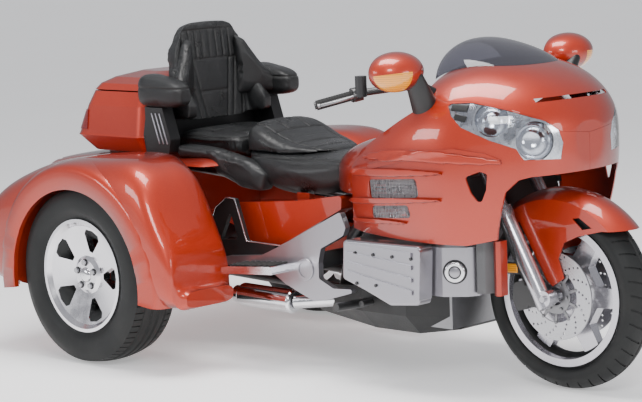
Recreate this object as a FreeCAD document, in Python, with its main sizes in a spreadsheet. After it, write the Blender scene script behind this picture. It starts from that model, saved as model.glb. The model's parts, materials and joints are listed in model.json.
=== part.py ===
"""A touring trike: a faired touring motorcycle with a two-wheeled body in place of its rear wheel.

Millimetres. X forward, Y to the rider's left, Z up, origin on the floor at the middle of the
outline. Each piece is its own object, and its Label is the name of the file it is written to.
"""
import FreeCAD, Part
import math
import os

import Sketcher
from FreeCAD import Placement, Rotation, Vector

SIZES = (
    # running gear
    ("wheelbase", 1700),
    ("tail_overhang", 560),
    ("front_tyre_radius", 320),
    ("front_tyre_width", 130),
    ("front_rim_radius", 240),
    ("front_rim_width", 100),
    ("front_hub_radius", 42),
    ("front_axle_radius", 10),
    ("disc_radius", 148),
    ("disc_thickness", 5),
    ("disc_offset", 72),
    ("rear_tyre_radius", 324),
    ("rear_tyre_width", 205),
    ("rear_rim_radius", 207),
    ("rear_rim_width", 176),
    ("rear_wheel_offset", 587),
    ("rear_hub_radius", 75),
    ("rear_stub_radius", 17),
    ("bearing_gap", 0.5),
    ("seat_gap", 0.3),
    # steering
    ("rake_angle", 29),
    ("trail", 109),
    ("fork_spacing", 230),
    ("fork_tube_radius", 22.5),
    ("slider_radius", 29),
    ("stem_radius", 16),
    ("lower_clamp_height", 748),
    ("upper_clamp_height", 905),
    ("slider_top_height", 600),
    ("clamp_thickness", 30),
    ("grip_radius", 17),
    ("bar_radius", 12.5),
    ("fender_gap", 24),
    ("fender_wall", 4),
    ("fender_half_width", 80),
    # upper bodywork
    ("panel_wall", 6),
    ("panel_seam", 0.8),
    ("grille_thickness", 3),
    ("fairing_half_width", 410),
    ("fairing_height", 1100),
    ("screen_wall", 4),
    # engine
    ("crankcase_half_width", 190),
    ("crankcase_bottom", 190),
    ("crankcase_height", 290),
    ("crankcase_front", 350),
    ("crankcase_length", 390),
    ("cylinder_length", 345),
    ("cylinder_height", 150),
    ("cylinder_bottom", 350),
    ("bank_front", 345),
    ("cover_length", 362),
    ("cover_thickness", 62),
    ("side_cover_inner", 322),
    ("side_cover_thickness", 24),
    ("rail_radius", 14),
    # rear body
    ("body_half_width", 712),
    ("arch_radius", 345),
    ("arch_drop", 26),
    ("arch_lip", 12),
    ("well_radius", 372),
    ("well_clearance", 26),
    ("trunk_wall", 14),
    ("trunk_floor", 480),
    ("floor_thickness", 18),
    ("trunk_height", 200),
    ("trunk_depth", 430),
    ("door_gap", 5),
    ("hinge_radius", 8),
    ("hinge_pin_radius", 3.5),
    ("hinge_drop", 14),
    ("plate_spacing", 178),
    ("plate_hole_radius", 3.3),
    ("plate_height", 400),
    ("deck_height", 722),
    ("deck_thickness", 24),
    ("deck_half_width", 372),
    ("axle_tube_radius", 42),
    # luggage box and seat
    ("box_half_width", 292),
    ("box_length", 395),
    ("box_bottom", 724),
    ("box_parting", 950),
    ("box_top", 1020),
    ("box_wall", 6),
    ("lid_gap", 5),
)

doc = FreeCAD.newDocument("touring_trike")
sheet = doc.addObject("Spreadsheet::Sheet", "sizes")
for row, (alias, value) in enumerate(SIZES, start=1):
    sheet.set("A%d" % row, alias)
    sheet.set("B%d" % row, str(value))
    sheet.setAlias("B%d" % row, alias)
doc.recompute()

nodes = {}


def size(alias):
    """The value that the sheet holds under this alias."""
    return float(sheet.get(alias))


# places worked out from the driving sizes
REAR_X = (size("tail_overhang") - size("wheelbase") - size("front_tyre_radius")) / 2
FRONT_X = REAR_X + size("wheelbase")
RAKE = math.radians(size("rake_angle"))
HEAD_X = FRONT_X + size("trail") - size("front_tyre_radius") * math.tan(RAKE)
HEAD_Z = size("front_tyre_radius")
STEER_AXIS = Vector(-math.sin(RAKE), 0, math.cos(RAKE))
LEG_LEAD = 38


def bike(behind, y, z):
    """A point of the motorcycle: so far behind the front axle, at y and z."""
    return Vector(FRONT_X - behind, y, z)


def rear(ahead, y, z):
    """A point of the rear body: so far ahead of the rear axle, at y and z."""
    return Vector(REAR_X + ahead, y, z)


def head(height, y=0.0, lead=0.0):
    """A point on the steering axis at this height, moved sideways and squarely ahead of the axis."""
    x = HEAD_X - (height - HEAD_Z) * math.tan(RAKE)
    return Vector(x + lead * math.cos(RAKE), y, height + lead * math.sin(RAKE))


def keep(name, shape):
    """Adds a piece whose shape is given, under the name of its node."""
    piece = doc.addObject("Part::Feature", name)
    piece.Label = name
    piece.Shape = shape
    nodes[name] = piece
    return piece


def node(name, piece):
    """Makes a document object the piece of this node."""
    piece.Label = name
    nodes[name] = piece
    return piece


def mirrored(shape):
    """The shape on the other side of the middle plane."""
    return shape.mirror(Vector(0, 0, 0), Vector(0, 1, 0))


def pair(shape):
    """The shape and its mirror image as two solids."""
    return Part.makeCompound([shape, mirrored(shape)])


def rod(start, end, radius):
    """A round bar from one point to another."""
    along = end - start
    return Part.makeCylinder(radius, along.Length, start, along)


def fused(first, *others):
    """One solid from pieces that touch, with the seams between their faces removed."""
    whole = first.fuse(list(others))
    clean = whole.removeSplitter()
    return clean if clean.isValid() else whole


def largest(shape):
    """The biggest solid of a shape."""
    return max(shape.Solids, key=lambda solid: solid.Volume)


def rounded_outline(points, radius):
    """A closed flat wire through the points with each corner rounded."""
    count = len(points)
    edges = []
    joints = []
    for i, corner in enumerate(points):
        before = (points[i - 1] - corner)
        after = (points[(i + 1) % count] - corner)
        turn = math.pi - before.getAngle(after)
        reach = min(radius * math.tan(turn / 2), 0.45 * before.Length, 0.45 * after.Length)
        before.normalize()
        after.normalize()
        start = corner + before * reach
        end = corner + after * reach
        bend = reach / math.tan(turn / 2)
        middle_way = before + after
        middle_way.normalize()
        centre = corner + middle_way * (bend / math.cos(turn / 2))
        joints.append((start, centre - middle_way * bend, end))
    for i, (start, middle, end) in enumerate(joints):
        edges.append(Part.Arc(start, middle, end).toShape())
        following = joints[(i + 1) % count][0]
        if (following - end).Length > 1e-6:
            edges.append(Part.LineSegment(end, following).toShape())
    return Part.Wire(edges)


def plate(points, radius, along):
    """A flat piece with rounded corners, as thick as the vector along is long."""
    return Part.Face(rounded_outline(points, radius)).extrude(along)


def side_plate(outline, radius, inner, outer):
    """A plate in the plane of the wheels from (x, z) points, between two distances from the middle."""
    points = [Vector(x, inner, z) for x, z in outline]
    return plate(points, radius, Vector(0, outer - inner, 0))


def ring(x, half_width, top, low, middle, power=2.5, count=20):
    """A closed rounded section square to X, wider or narrower below its middle height than above."""
    points = []
    for i in range(count):
        turn = 2 * math.pi * i / count
        across, up = math.cos(turn), math.sin(turn)
        reach = (top - middle) if up > 0 else (middle - low)
        y = half_width * math.copysign(abs(across) ** (2 / power), across)
        z = middle + reach * math.copysign(abs(up) ** (2 / power), up)
        points.append(Vector(x, y, z))
    curve = Part.BSplineCurve()
    curve.interpolate(points, PeriodicFlag=True)
    return Part.Wire([curve.toShape()])


def hollow_loft(outer, inner, nose_closed=False):
    """A tube with smooth walls between two rows of sections, its last end open or closed."""
    faces = Part.makeLoft(outer, False, False).Faces + Part.makeLoft(inner, False, False).Faces
    faces += Part.Face(outer[0]).cut(Part.Face(inner[0])).Faces
    if nose_closed:
        faces += [Part.Face(outer[-1]), Part.Face(inner[-1])]
    else:
        faces += Part.Face(outer[-1]).cut(Part.Face(inner[-1])).Faces
    shell = Part.makeShell(faces)
    shell.sewShape()
    solid = Part.makeSolid(shell)
    if solid.Volume < 0:
        solid.reverse()
    return solid


# sketches whose points are bound to the sheet


def plane_of(body, role):
    """One of a body's own origin planes."""
    return [f for f in body.Origin.OriginFeatures if f.Role == role][0]


def bound_sketch(body, name, role, corners):
    """A closed outline of straight lines, each corner given as a pair of expressions."""
    sketch = body.newObject("Sketcher::SketchObject", name)
    sketch.AttachmentSupport = [(plane_of(body, role), "")]
    sketch.MapMode = "FlatFace"
    known = {alias: size(alias) for alias, _ in SIZES}
    places = []
    for across, up in corners:
        places.append([worked_out(text, known) for text in (across, up)])
    count = len(places)
    for i in range(count):
        sketch.addGeometry(
            Part.LineSegment(Vector(*places[i], 0), Vector(*places[(i + 1) % count], 0)))
    for i in range(count):
        sketch.addConstraint(Sketcher.Constraint("Coincident", i, 2, (i + 1) % count, 1))
    for i, texts in enumerate(corners):
        for kind, text, place in zip(("DistanceX", "DistanceY"), texts, places[i]):
            index = sketch.addConstraint(Sketcher.Constraint(kind, -1, 1, i, 1, place))
            sketch.setExpression("Constraints[%d]" % index, sheet_expression(text))
    return sketch


def sheet_expression(text):
    """The same expression with each size read from the sheet."""
    words = []
    for word in text.split():
        words.append("sizes." + word if word[0].isalpha() else word)
    return " ".join(words)


def worked_out(text, known):
    """The value of an expression of sizes, numbers and the four signs, read from left to right."""
    total, sign, product = 0.0, 1.0, None
    operation = "*"
    for word in text.split():
        if word in "*/":
            operation = word
        elif word in ("+", "-"):
            if product is not None:
                total += sign * product
            sign = 1.0 if word == "+" else -1.0
            product, operation = None, "*"
        else:
            number = known[word] if word in known else float(word)
            if product is None:
                product = number
            elif operation == "*":
                product *= number
            else:
                product /= number
    return total + sign * (product or 0.0)


def turned_body(name, corners):
    """A PartDesign body turned about its own Z axis from an outline of radius and height."""
    body = doc.addObject("PartDesign::Body", name)
    sketch = bound_sketch(body, name + "_outline", "XZ_Plane", corners)
    turn = body.newObject("PartDesign::Revolution", name + "_turn")
    turn.Profile = sketch
    turn.ReferenceAxis = (sketch, ["V_Axis"])
    turn.Angle = 360
    doc.recompute()
    return body


def cut_windows(body, name, sketch_maker, number):
    """Pockets right through a turned body, repeated about its axis."""
    sketch = sketch_maker(body, name)
    pocket = body.newObject("PartDesign::Pocket", name)
    pocket.Profile = sketch
    pocket.Type = 1
    pocket.SideType = "Symmetric"
    doc.recompute()
    pattern = body.newObject("PartDesign::PolarPattern", name + "_pattern")
    pattern.Originals = [pocket]
    pattern.Axis = (plane_of(body, "Z_Axis"), [""])
    pattern.Angle = 360
    pattern.Occurrences = number
    body.Tip = pattern
    doc.recompute()
    return body


ON_AXLE = Rotation(Vector(1, 0, 0), 90)


def tyre(radius, width, rim_radius, rim_width, shoulder_drop, shoulder_in):
    """A tyre about the Y axis at the origin: tread, rounded shoulders, sidewalls and open beads."""
    half = width / 2
    bead = rim_width / 2 - 6 - size("seat_gap")
    foot = rim_radius - 17 + size("seat_gap")
    wall = 11
    crown = radius - shoulder_drop

    def at(across, out):
        return Vector(0, across, out)

    def half_outline(side):
        return [
            Part.Arc(at(side * bead, rim_radius + 4),
                     at(side * half, rim_radius + 0.42 * (radius - rim_radius)),
                     at(side * (half - shoulder_in), crown)).toShape(),
            Part.LineSegment(at(side * bead, rim_radius + 4), at(side * bead, foot)).toShape(),
            Part.LineSegment(at(side * bead, foot), at(side * (bead - wall), foot)).toShape(),
            Part.LineSegment(at(side * (bead - wall), foot),
                             at(side * (bead - wall), rim_radius + 6)).toShape(),
            Part.Arc(at(side * (bead - wall), rim_radius + 6),
                     at(side * (half - wall), rim_radius + 0.45 * (radius - rim_radius)),
                     at(side * (half - shoulder_in - 8), crown - wall)).toShape(),
        ]

    tread = Part.Arc(at(half - shoulder_in, crown), at(0, radius),
                     at(shoulder_in - half, crown)).toShape()
    lining = Part.Arc(at(half - shoulder_in - 8, crown - wall), at(0, radius - wall),
                      at(shoulder_in + 8 - half, crown - wall)).toShape()
    edges = half_outline(1) + half_outline(-1) + [tread, lining]
    outline = Part.Wire(Part.__sortEdges__(edges))
    return Part.Face(outline).revolve(Vector(0, 0, 0), Vector(0, 1, 0), 360)


def front_wheel():
    rim = turned_body("front_rim", [
        ("front_rim_radius - 24", "0 - front_rim_width / 2"),
        ("front_rim_radius", "0 - front_rim_width / 2"),
        ("front_rim_radius", "6 - front_rim_width / 2"),
        ("front_rim_radius - 17", "6 - front_rim_width / 2"),
        ("front_rim_radius - 17", "front_rim_width / 2 - 6"),
        ("front_rim_radius", "front_rim_width / 2 - 6"),
        ("front_rim_radius", "front_rim_width / 2"),
        ("front_rim_radius - 24", "front_rim_width / 2"),
        ("front_rim_radius - 30", "16"),
        ("front_hub_radius + 14", "24"),
        ("front_hub_radius", "disc_offset - 14"),
        ("front_axle_radius + bearing_gap", "disc_offset - 14"),
        ("front_axle_radius + bearing_gap", "14 - disc_offset"),
        ("front_hub_radius", "14 - disc_offset"),
        ("front_hub_radius + 14", "-24"),
        ("front_rim_radius - 30", "-16"),
    ])

    def window(body, name):
        return bound_sketch(body, name + "_outline", "XY_Plane", [
            ("front_rim_radius - 110", "-34"),
            ("front_rim_radius - 46", "-76"),
            ("front_rim_radius - 34", "-50"),
            ("front_rim_radius - 28", "0"),
            ("front_rim_radius - 34", "50"),
            ("front_rim_radius - 46", "76"),
            ("front_rim_radius - 110", "34"),
        ])

    cut_windows(rim, "front_window", window, 6)
    centre = Vector(FRONT_X, 0, size("front_tyre_radius"))
    rim.Placement = Placement(centre, ON_AXLE.multiply(Rotation(Vector(0, 0, 1), 30)))
    node("front_rim", rim)
    rubber = tyre(size("front_tyre_radius"), size("front_tyre_width"), size("front_rim_radius"),
                  size("front_rim_width"), 24, 12)
    keep("front_tyre", rubber).Placement = Placement(centre, Rotation())

    disc = turned_body("front_disc", [
        ("front_axle_radius + 3", "disc_offset - 14"),
        ("front_hub_radius + 22", "disc_offset - 14"),
        ("front_hub_radius + 30", "disc_offset - disc_thickness / 2"),
        ("disc_radius", "disc_offset - disc_thickness / 2"),
        ("disc_radius", "disc_offset + disc_thickness / 2"),
        ("front_hub_radius + 16", "disc_offset + disc_thickness / 2"),
        ("front_hub_radius + 8", "disc_offset - 6"),
        ("front_axle_radius + 3", "disc_offset - 6"),
    ])
    right = disc.Shape.copy()
    right.Placement = Placement(Vector(), ON_AXLE)
    discs = keep("brake_discs", pair(right))
    discs.Placement = Placement(centre, Rotation())


def rear_wheel(side, word):
    rim = turned_body("rear_rim_" + word, [
        ("rear_rim_radius - 24", "0 - rear_rim_width / 2"),
        ("rear_rim_radius", "0 - rear_rim_width / 2"),
        ("rear_rim_radius", "6 - rear_rim_width / 2"),
        ("rear_rim_radius - 17", "6 - rear_rim_width / 2"),
        ("rear_rim_radius - 17", "rear_rim_width / 2 - 6"),
        ("rear_rim_radius", "rear_rim_width / 2 - 6"),
        ("rear_rim_radius", "rear_rim_width / 2"),
        ("rear_rim_radius - 12", "rear_rim_width / 2"),
        ("rear_rim_radius - 26", "rear_rim_width / 2 - 16"),
        ("rear_hub_radius - 5", "rear_rim_width / 2 - 34"),
        ("rear_hub_radius - 20", "rear_rim_width / 2 - 24"),
        ("rear_stub_radius + bearing_gap", "rear_rim_width / 2 - 24"),
        ("rear_stub_radius + bearing_gap", "10"),
        ("rear_hub_radius", "10"),
        ("rear_hub_radius + 8", "rear_rim_width / 2 - 62"),
        ("rear_rim_radius - 30", "rear_rim_width / 2 - 44"),
    ])

    def window(body, name):
        return bound_sketch(body, name + "_outline", "XY_Plane", [
            ("rear_hub_radius + 14", "-9"),
            ("rear_rim_radius - 58", "-40"),
            ("rear_rim_radius - 40", "-34"),
            ("rear_rim_radius - 33", "0"),
            ("rear_rim_radius - 40", "34"),
            ("rear_rim_radius - 58", "40"),
            ("rear_hub_radius + 14", "9"),
        ])

    cut_windows(rim, "rear_window_" + word, window, 5)
    centre = Vector(REAR_X, side * size("rear_wheel_offset"), size("rear_tyre_radius"))
    rim.Placement = Placement(centre, Rotation(Vector(1, 0, 0), -90 * side))
    node("rear_rim_" + word, rim)
    rubber = tyre(size("rear_tyre_radius"), size("rear_tyre_width"), size("rear_rim_radius"),
                  size("rear_rim_width"), 12, 12)
    keep("rear_tyre_" + word, rubber).Placement = Placement(centre, Rotation())


def in_fork_frame(shape, height):
    """Stands a shape built about local Z on the steering axis at this height."""
    shape.Placement = Placement(
        head(height), Rotation(Vector(0, 1, 0), -size("rake_angle"))).multiply(shape.Placement)
    return shape


def leg_point(height, side):
    """The point of a fork leg's centre line at this height."""
    y = side * size("fork_spacing") / 2
    start = head(0, y, LEG_LEAD)
    return start + STEER_AXIS * ((height - start.z) / STEER_AXIS.z)


def fork():
    axle_height = size("front_tyre_radius")
    axle = doc.addObject("Part::Cylinder", "front_axle")
    axle.setExpression("Radius", "sizes.front_axle_radius")
    axle.setExpression("Height", "sizes.fork_spacing + 64")
    axle.Placement = Placement(
        Vector(FRONT_X, size("fork_spacing") / 2 + 32, axle_height), ON_AXLE)
    node("front_axle", axle)
    doc.recompute()

    def leg(side):
        low = leg_point(axle_height - 34, side)
        top = leg_point(size("slider_top_height"), side)
        end = leg_point(size("upper_clamp_height") + size("clamp_thickness") / 2 + 6, side)
        slider = rod(low, top, size("slider_radius"))
        collar = rod(leg_point(size("slider_top_height") - 24, side), top + STEER_AXIS * 6,
                     size("slider_radius") + 4)
        tube = rod(top, end, size("fork_tube_radius"))
        lug = Part.makeCylinder(26, 44, Vector(
            FRONT_X, side * size("fork_spacing") / 2 - 22, axle_height), Vector(0, 1, 0))
        hole = Part.makeCylinder(size("front_axle_radius") + 0.1, 200, Vector(
            FRONT_X, side * size("fork_spacing") / 2 - 100, axle_height), Vector(0, 1, 0))
        return fused(slider, collar, tube, lug).cut(hole)

    keep("fork_legs", Part.makeCompound([leg(-1), leg(1)]))

    thick = size("clamp_thickness")
    spacing = size("fork_spacing")

    def clamp(reach):
        plan = rounded_outline([
            Vector(-38, -34, -thick / 2), Vector(LEG_LEAD - 30, -spacing / 2 - 36, -thick / 2),
            Vector(LEG_LEAD + 36, -spacing / 2 - 36, -thick / 2),
            Vector(LEG_LEAD + 30, 0, -thick / 2),
            Vector(LEG_LEAD + 36, spacing / 2 + 36, -thick / 2),
            Vector(LEG_LEAD - 30, spacing / 2 + 36, -thick / 2),
            Vector(-38, 34, -thick / 2)], reach)
        body = Part.Face(plan).extrude(Vector(0, 0, thick))
        for side in (-1, 1):
            body = body.cut(Part.makeCylinder(
                size("fork_tube_radius") + 0.2, 2 * thick,
                Vector(LEG_LEAD, side * spacing / 2, -thick)))
        return body

    rise = (size("upper_clamp_height") - size("lower_clamp_height")) / STEER_AXIS.z
    stem = Part.makeCylinder(size("stem_radius"), rise - thick / 2)
    lower = clamp(26).fuse(stem)
    keep("lower_clamp", in_fork_frame(lower, size("lower_clamp_height")))
    upper = clamp(26)
    keep("upper_clamp", in_fork_frame(upper, size("upper_clamp_height")))


def handlebars():
    top = size("upper_clamp_height")
    thick = size("clamp_thickness")

    def half(side):
        foot = head(top, side * 70, 0) + STEER_AXIS * (thick / 2)
        points = [foot, foot + STEER_AXIS * 52, bike(545, side * 175, 1004),
                  bike(640, side * 285, 990), bike(748, side * 408, 952)]
        radius = size("bar_radius")
        pieces = [rod(points[0], points[1], 20)]
        for start, end in zip(points[1:-1], points[2:]):
            pieces.append(rod(start, end, radius))
        for corner in points[1:-1]:
            pieces.append(Part.makeSphere(radius * 1.6 if corner == points[1] else radius, corner))
        return fused(*pieces), points

    bars = [half(-1), half(1)]
    keep("handlebars", Part.makeCompound([bars[0][0], bars[1][0]]))

    def grip(side, points):
        start, end = points[-2], points[-1]
        along = (end - start).normalize()
        sleeve = Part.makeCylinder(size("grip_radius"), 128, start + along * 34, along)
        flange = Part.makeCylinder(size("grip_radius") + 7, 6, start + along * 34, along)
        bore = Part.makeCylinder(size("bar_radius") + 0.2, 200, start, along)
        return sleeve.fuse(flange).cut(bore)

    keep("grips", Part.makeCompound([grip(-1, bars[0][1]), grip(1, bars[1][1])]))

    def controls(side, points):
        start, end = points[-2], points[-1]
        along = (end - start).normalize()
        forward = along.cross(Vector(0, 0, 1)) * side
        forward.normalize()
        pod = Part.makeCylinder(25, 30, start + along * 1, along)
        tank = rod(start + along * 8 + forward * 38 + Vector(0, 0, -8),
                   start + along * 8 + forward * 38 + Vector(0, 0, 62), 20)
        arm = rod(start + along * 14 + forward * 18, start + along * 14 + forward * 46, 10)
        lever = rod(start + along * 14 + forward * 44, end + forward * 40 - along * 12, 6.5)
        bore = Part.makeCylinder(size("bar_radius") + 0.2, 300, start - along * 60, along)
        return fused(pod.cut(bore), tank, arm, lever)

    keep("hand_controls", Part.makeCompound(
        [controls(-1, bars[0][1]), controls(1, bars[1][1])]))


def front_fender():
    inner = size("front_tyre_radius") + size("fender_gap")
    wall = size("fender_wall")
    half = size("fender_half_width")
    centre = Vector(FRONT_X, 0, size("front_tyre_radius"))

    def arch(across, crown, low):
        face = Part.Face(Part.Wire([
            Part.LineSegment(Vector(0, -across, low), Vector(0, -across, crown - 34)).toShape(),
            Part.Arc(Vector(0, -across, crown - 34), Vector(0, 0, crown),
                     Vector(0, across, crown - 34)).toShape(),
            Part.LineSegment(Vector(0, across, crown - 34), Vector(0, across, low)).toShape(),
            Part.LineSegment(Vector(0, across, low), Vector(0, -across, low)).toShape()]))
        return face.revolve(Vector(0, 0, 0), Vector(0, 1, 0), 360)

    def across_prism(outline):
        points = [Vector(FRONT_X + x, -200, z) for x, z in outline]
        return Part.Face(Part.makePolygon(points + points[:1])).extrude(Vector(0, 400, 0))

    shell = arch(half, inner + wall + 8, 0.1).cut(arch(half - wall, inner + 8, 0.05))
    shell.translate(centre)
    edge = [(400, 556), (196, 550), (105, 528), (45, 502), (20, 447), (42, 384), (-6, 353),
            (-30, 372), (-140, 560), (-200, 520), (-250, 560), (-330, 800), (400, 800)]
    slot = [(82, 584), (108, 589), (159, 558), (120, 550)]
    shell = largest(shell.common(across_prism(edge)).cut(across_prism(slot)))
    boss_height = 556
    bosses = []
    for side in (-1, 1):
        seat = leg_point(boss_height, side)
        reach = size("fork_spacing") / 2 - size("slider_radius") - size("seat_gap")
        start = Vector(seat.x, side * (half - wall / 2), boss_height)
        bosses.append(Part.makeCylinder(9, reach - half + wall / 2, start, Vector(0, side, 0)))
    keep("front_fender", fused(shell, *bosses))


def calipers():
    centre = Vector(FRONT_X, 0, size("front_tyre_radius"))
    offset = size("disc_offset")
    reach = size("disc_radius")

    def caliper():
        outline = [Vector(-reach - 19, -offset - 21, -22), Vector(-reach - 2, -offset - 21, -62),
                   Vector(-reach + 46, -offset - 21, -50), Vector(-reach + 56, -offset - 21, 30),
                   Vector(-reach + 28, -offset - 21, 46), Vector(-reach - 12, -offset - 21, 32)]
        body = plate(outline, 12, Vector(0, 38, 0))
        slot = Part.makeCylinder(reach + 3, size("disc_thickness") + 5, Vector(
            0, -offset - size("disc_thickness") / 2 - 2.5, 0), Vector(0, 1, 0))
        bracket = plate([Vector(-reach + 48, -offset - 21, -40), Vector(-46, -offset - 21, -44),
                         Vector(-52, -offset - 21, 24), Vector(-reach + 50, -offset - 21, 26)],
                        4, Vector(0, 9, 0))
        right = fused(body.cut(slot), bracket)
        right.translate(centre)
        leg = rod(leg_point(centre.z - 120, -1), leg_point(centre.z + 160, -1),
                  size("slider_radius") + size("seat_gap"))
        return largest(right.cut(leg))

    keep("front_calipers", pair(caliper()))


# the motorcycle's middle: frame, engine and covers


def frame():
    top = size("upper_clamp_height")
    low = size("lower_clamp_height")
    thick = size("clamp_thickness")
    gap = 3
    rise = (top - low) / STEER_AXIS.z - thick - 2 * gap
    tube = Part.makeCylinder(36, rise, Vector(0, 0, thick / 2 + gap))
    bore = Part.makeCylinder(size("stem_radius") + 0.4, rise + 10, Vector(0, 0, thick / 2))
    tube = in_fork_frame(tube.cut(bore), low)
    middle = head((top + low) / 2)
    rear_of_engine = size("crankcase_front") + size("crankcase_length")
    pieces = [tube]
    for side in (-1, 1):
        start = middle + Vector(-30, side * 22, 0)
        shoulder = bike(640, side * 120, 690)
        pivot = bike(830, side * 150, 470)
        foot = bike(880, side * 150, 270)
        stay = start + (shoulder - start) * 0.54
        mount = bike(rear_of_engine + size("seat_gap"), side * 150, 440)
        pieces += [rod(stay, bike(395, stay.y, 668), 9),
                   rod(bike(852, side * 150, 440), mount, 18),
                   rod(start, shoulder, 24), Part.makeSphere(24, shoulder),
                   rod(shoulder, pivot, 24), Part.makeSphere(24, pivot), rod(pivot, foot, 24),
                   rod(*seat_rail(side), size("rail_radius")),
                   Part.makeSphere(24, foot), rod(foot, rear(0, side * 150, 300), 20),
                   rod(bike(847, side * 150, 400),
                       bike(847, side * (size("side_cover_inner") - size("seat_gap")), 400), 30)]
        deck_under = size("deck_height") - size("deck_thickness")
        pieces.append(rod(rear(-60, side * 150, 672),
                          rear(-60, side * 150, deck_under - size("seat_gap")), 16))
    cross = rod(bike(880, -150, 270), bike(880, 150, 270), 20)
    pieces.append(cross)
    cross = rod(bike(720, -130, 598), bike(720, 130, 598), 16)
    pieces.append(cross)
    whole = fused(*pieces).cut(
        in_fork_frame(Part.makeCylinder(size("stem_radius") + 0.4, 400, Vector(0, 0, -60)), low))
    housing = Part.makeCylinder(size("axle_tube_radius") + 0.2, 1200, Vector(
        REAR_X, -600, size("rear_tyre_radius")), Vector(0, 1, 0))
    stay_seat = side_prism(radiator_outline(size("seat_gap") + 0.03), -200, 200)
    keep("main_frame", largest(whole.cut([housing, stay_seat])))


def seat_rail(side):
    """The two ends of a rail that carries the seats."""
    return bike(720, side * 130, 598), rear(-90, side * 150, 674)


def rear_axle():
    height = size("rear_tyre_radius")
    offset = size("rear_wheel_offset")
    tube_end = offset - size("rear_rim_width") / 2 + 20
    middle = Vector(REAR_X, 0, height)

    def across(radius, reach):
        return Part.makeCylinder(radius, 2 * reach, Vector(REAR_X, -reach, height), Vector(0, 1, 0))

    case = across(104, 78)
    case = case.makeFillet(24, case.Edges)
    nose = Part.makeCone(70, 46, 190, middle, Vector(1, 0, 0))
    keep("rear_axle", fused(
        across(size("axle_tube_radius"), tube_end), across(size("rear_stub_radius"), offset + 60),
        case, nose))


def engine():
    half = size("crankcase_half_width")
    base = size("crankcase_bottom")
    start = bike(size("crankcase_front") + size("crankcase_length"), -half, base)
    block = Part.makeBox(size("crankcase_length"), 2 * half, size("crankcase_height"), start)
    reach = size("cylinder_length")
    bank_rear = 290 + size("cover_length")
    banks = Part.makeBox(bank_rear - size("bank_front"), 2 * reach, size("cylinder_height"),
                         bike(bank_rear, -reach, size("cylinder_bottom")))
    keep("engine_block", fused(block, banks))


def valve_covers():
    """The cylinder head covers: a ribbed panel with a sloping lower edge and a flange in front."""
    inner = size("cylinder_length") + size("seat_gap")
    outer = inner + size("cover_thickness")
    edge = [(643, 503), (293, 507), (307, 309), (435, 297), (541, 335), (650, 369)]
    cover = side_plate([(FRONT_X - d, z) for d, z in edge], 16, -inner, -outer)
    cover = cover.makeFillet(9, [e for e in cover.Edges
                                 if abs(e.BoundBox.YMin + outer) < 0.01
                                 and abs(e.BoundBox.YMax + outer) < 0.01])
    ribs = []
    for low_rear, low_front in ((392, 342), (424, 384), (456, 426), (482, 468)):
        ribs.append(side_plate([(FRONT_X - 626, low_rear), (FRONT_X - 330, low_front),
                                (FRONT_X - 330, low_front + 15), (FRONT_X - 626, low_rear + 9)],
                               3, -outer + 1, -outer - 7))
    flange = side_plate([(FRONT_X - 318, 326), (FRONT_X - 296, 326), (FRONT_X - 286, 496),
                         (FRONT_X - 312, 494)], 8, -inner - 8, -outer - 9)
    keep("valve_covers", pair(fused(cover, flange, *ribs)))


def plan_block(plan, radius, low, high):
    """An upright block from (behind the front axle, outward) points, on the right side."""
    points = [bike(d, -y, low) for d, y in plan]
    return plate(points, radius, Vector(0, 0, high - low))


def engine_front():
    """What shows between the cylinders and the front wheel: cover, round cap and end panels."""
    seat = size("seat_gap")
    bank_front = size("bank_front")
    reach = size("cylinder_length") - 0.5
    slant_rear, slant_front = (252, reach), (185, 300)
    cover = plan_block([(bank_front - seat, 235), (bank_front - seat, reach), slant_rear,
                        slant_front, (165, 262), (165, 235)], 14, 335, 498)
    keep("engine_side_covers", pair(cover))
    run = Vector(slant_rear[0] - slant_front[0], -(slant_rear[1] - slant_front[1]), 0)
    facing = Vector(-run.y, -run.x, 0).normalize()
    middle = bike((slant_rear[0] + slant_front[0]) / 2,
                  -(slant_rear[1] + slant_front[1]) / 2, 418)
    cap = Part.makeCylinder(34, 14, middle + facing * seat, facing)
    cap = cap.makeFillet(5, [cap.Edges[0]])
    hollow = Part.makeCylinder(22, 6, middle + facing * (seat + 9), facing)
    keep("engine_caps", pair(cap.cut(hollow)))
    panel = plan_block([(165 - seat, 215), (165 - seat, 285), (132, 275), (112, 236), (112, 215)],
                       8, 345, 515)
    keep("radiator_covers", pair(panel))
    strip = plan_block([(112 - seat, 215), (112 - seat, 252), (94, 262), (80, 256), (82, 215)],
                       5, 339, 520)
    keep("lower_cowls", pair(strip))


def radiator_outline(margin):
    """The side outline of the radiator panel, its rear face moved back by a margin."""
    return [(300, 528), (330 + margin, 528), (402 + margin, 690), (372, 690)]


def radiator_panel():
    """The black panel behind the front wheel that closes the fairing between its sides."""
    clear = size("panel_wall") + size("grille_thickness") + 2 * size("seat_gap")
    inside = Part.makeLoft(envelope(clear), True, False)
    keep("radiator_panel", largest(inside.common(side_prism(radiator_outline(0), -400, 400))))


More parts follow.
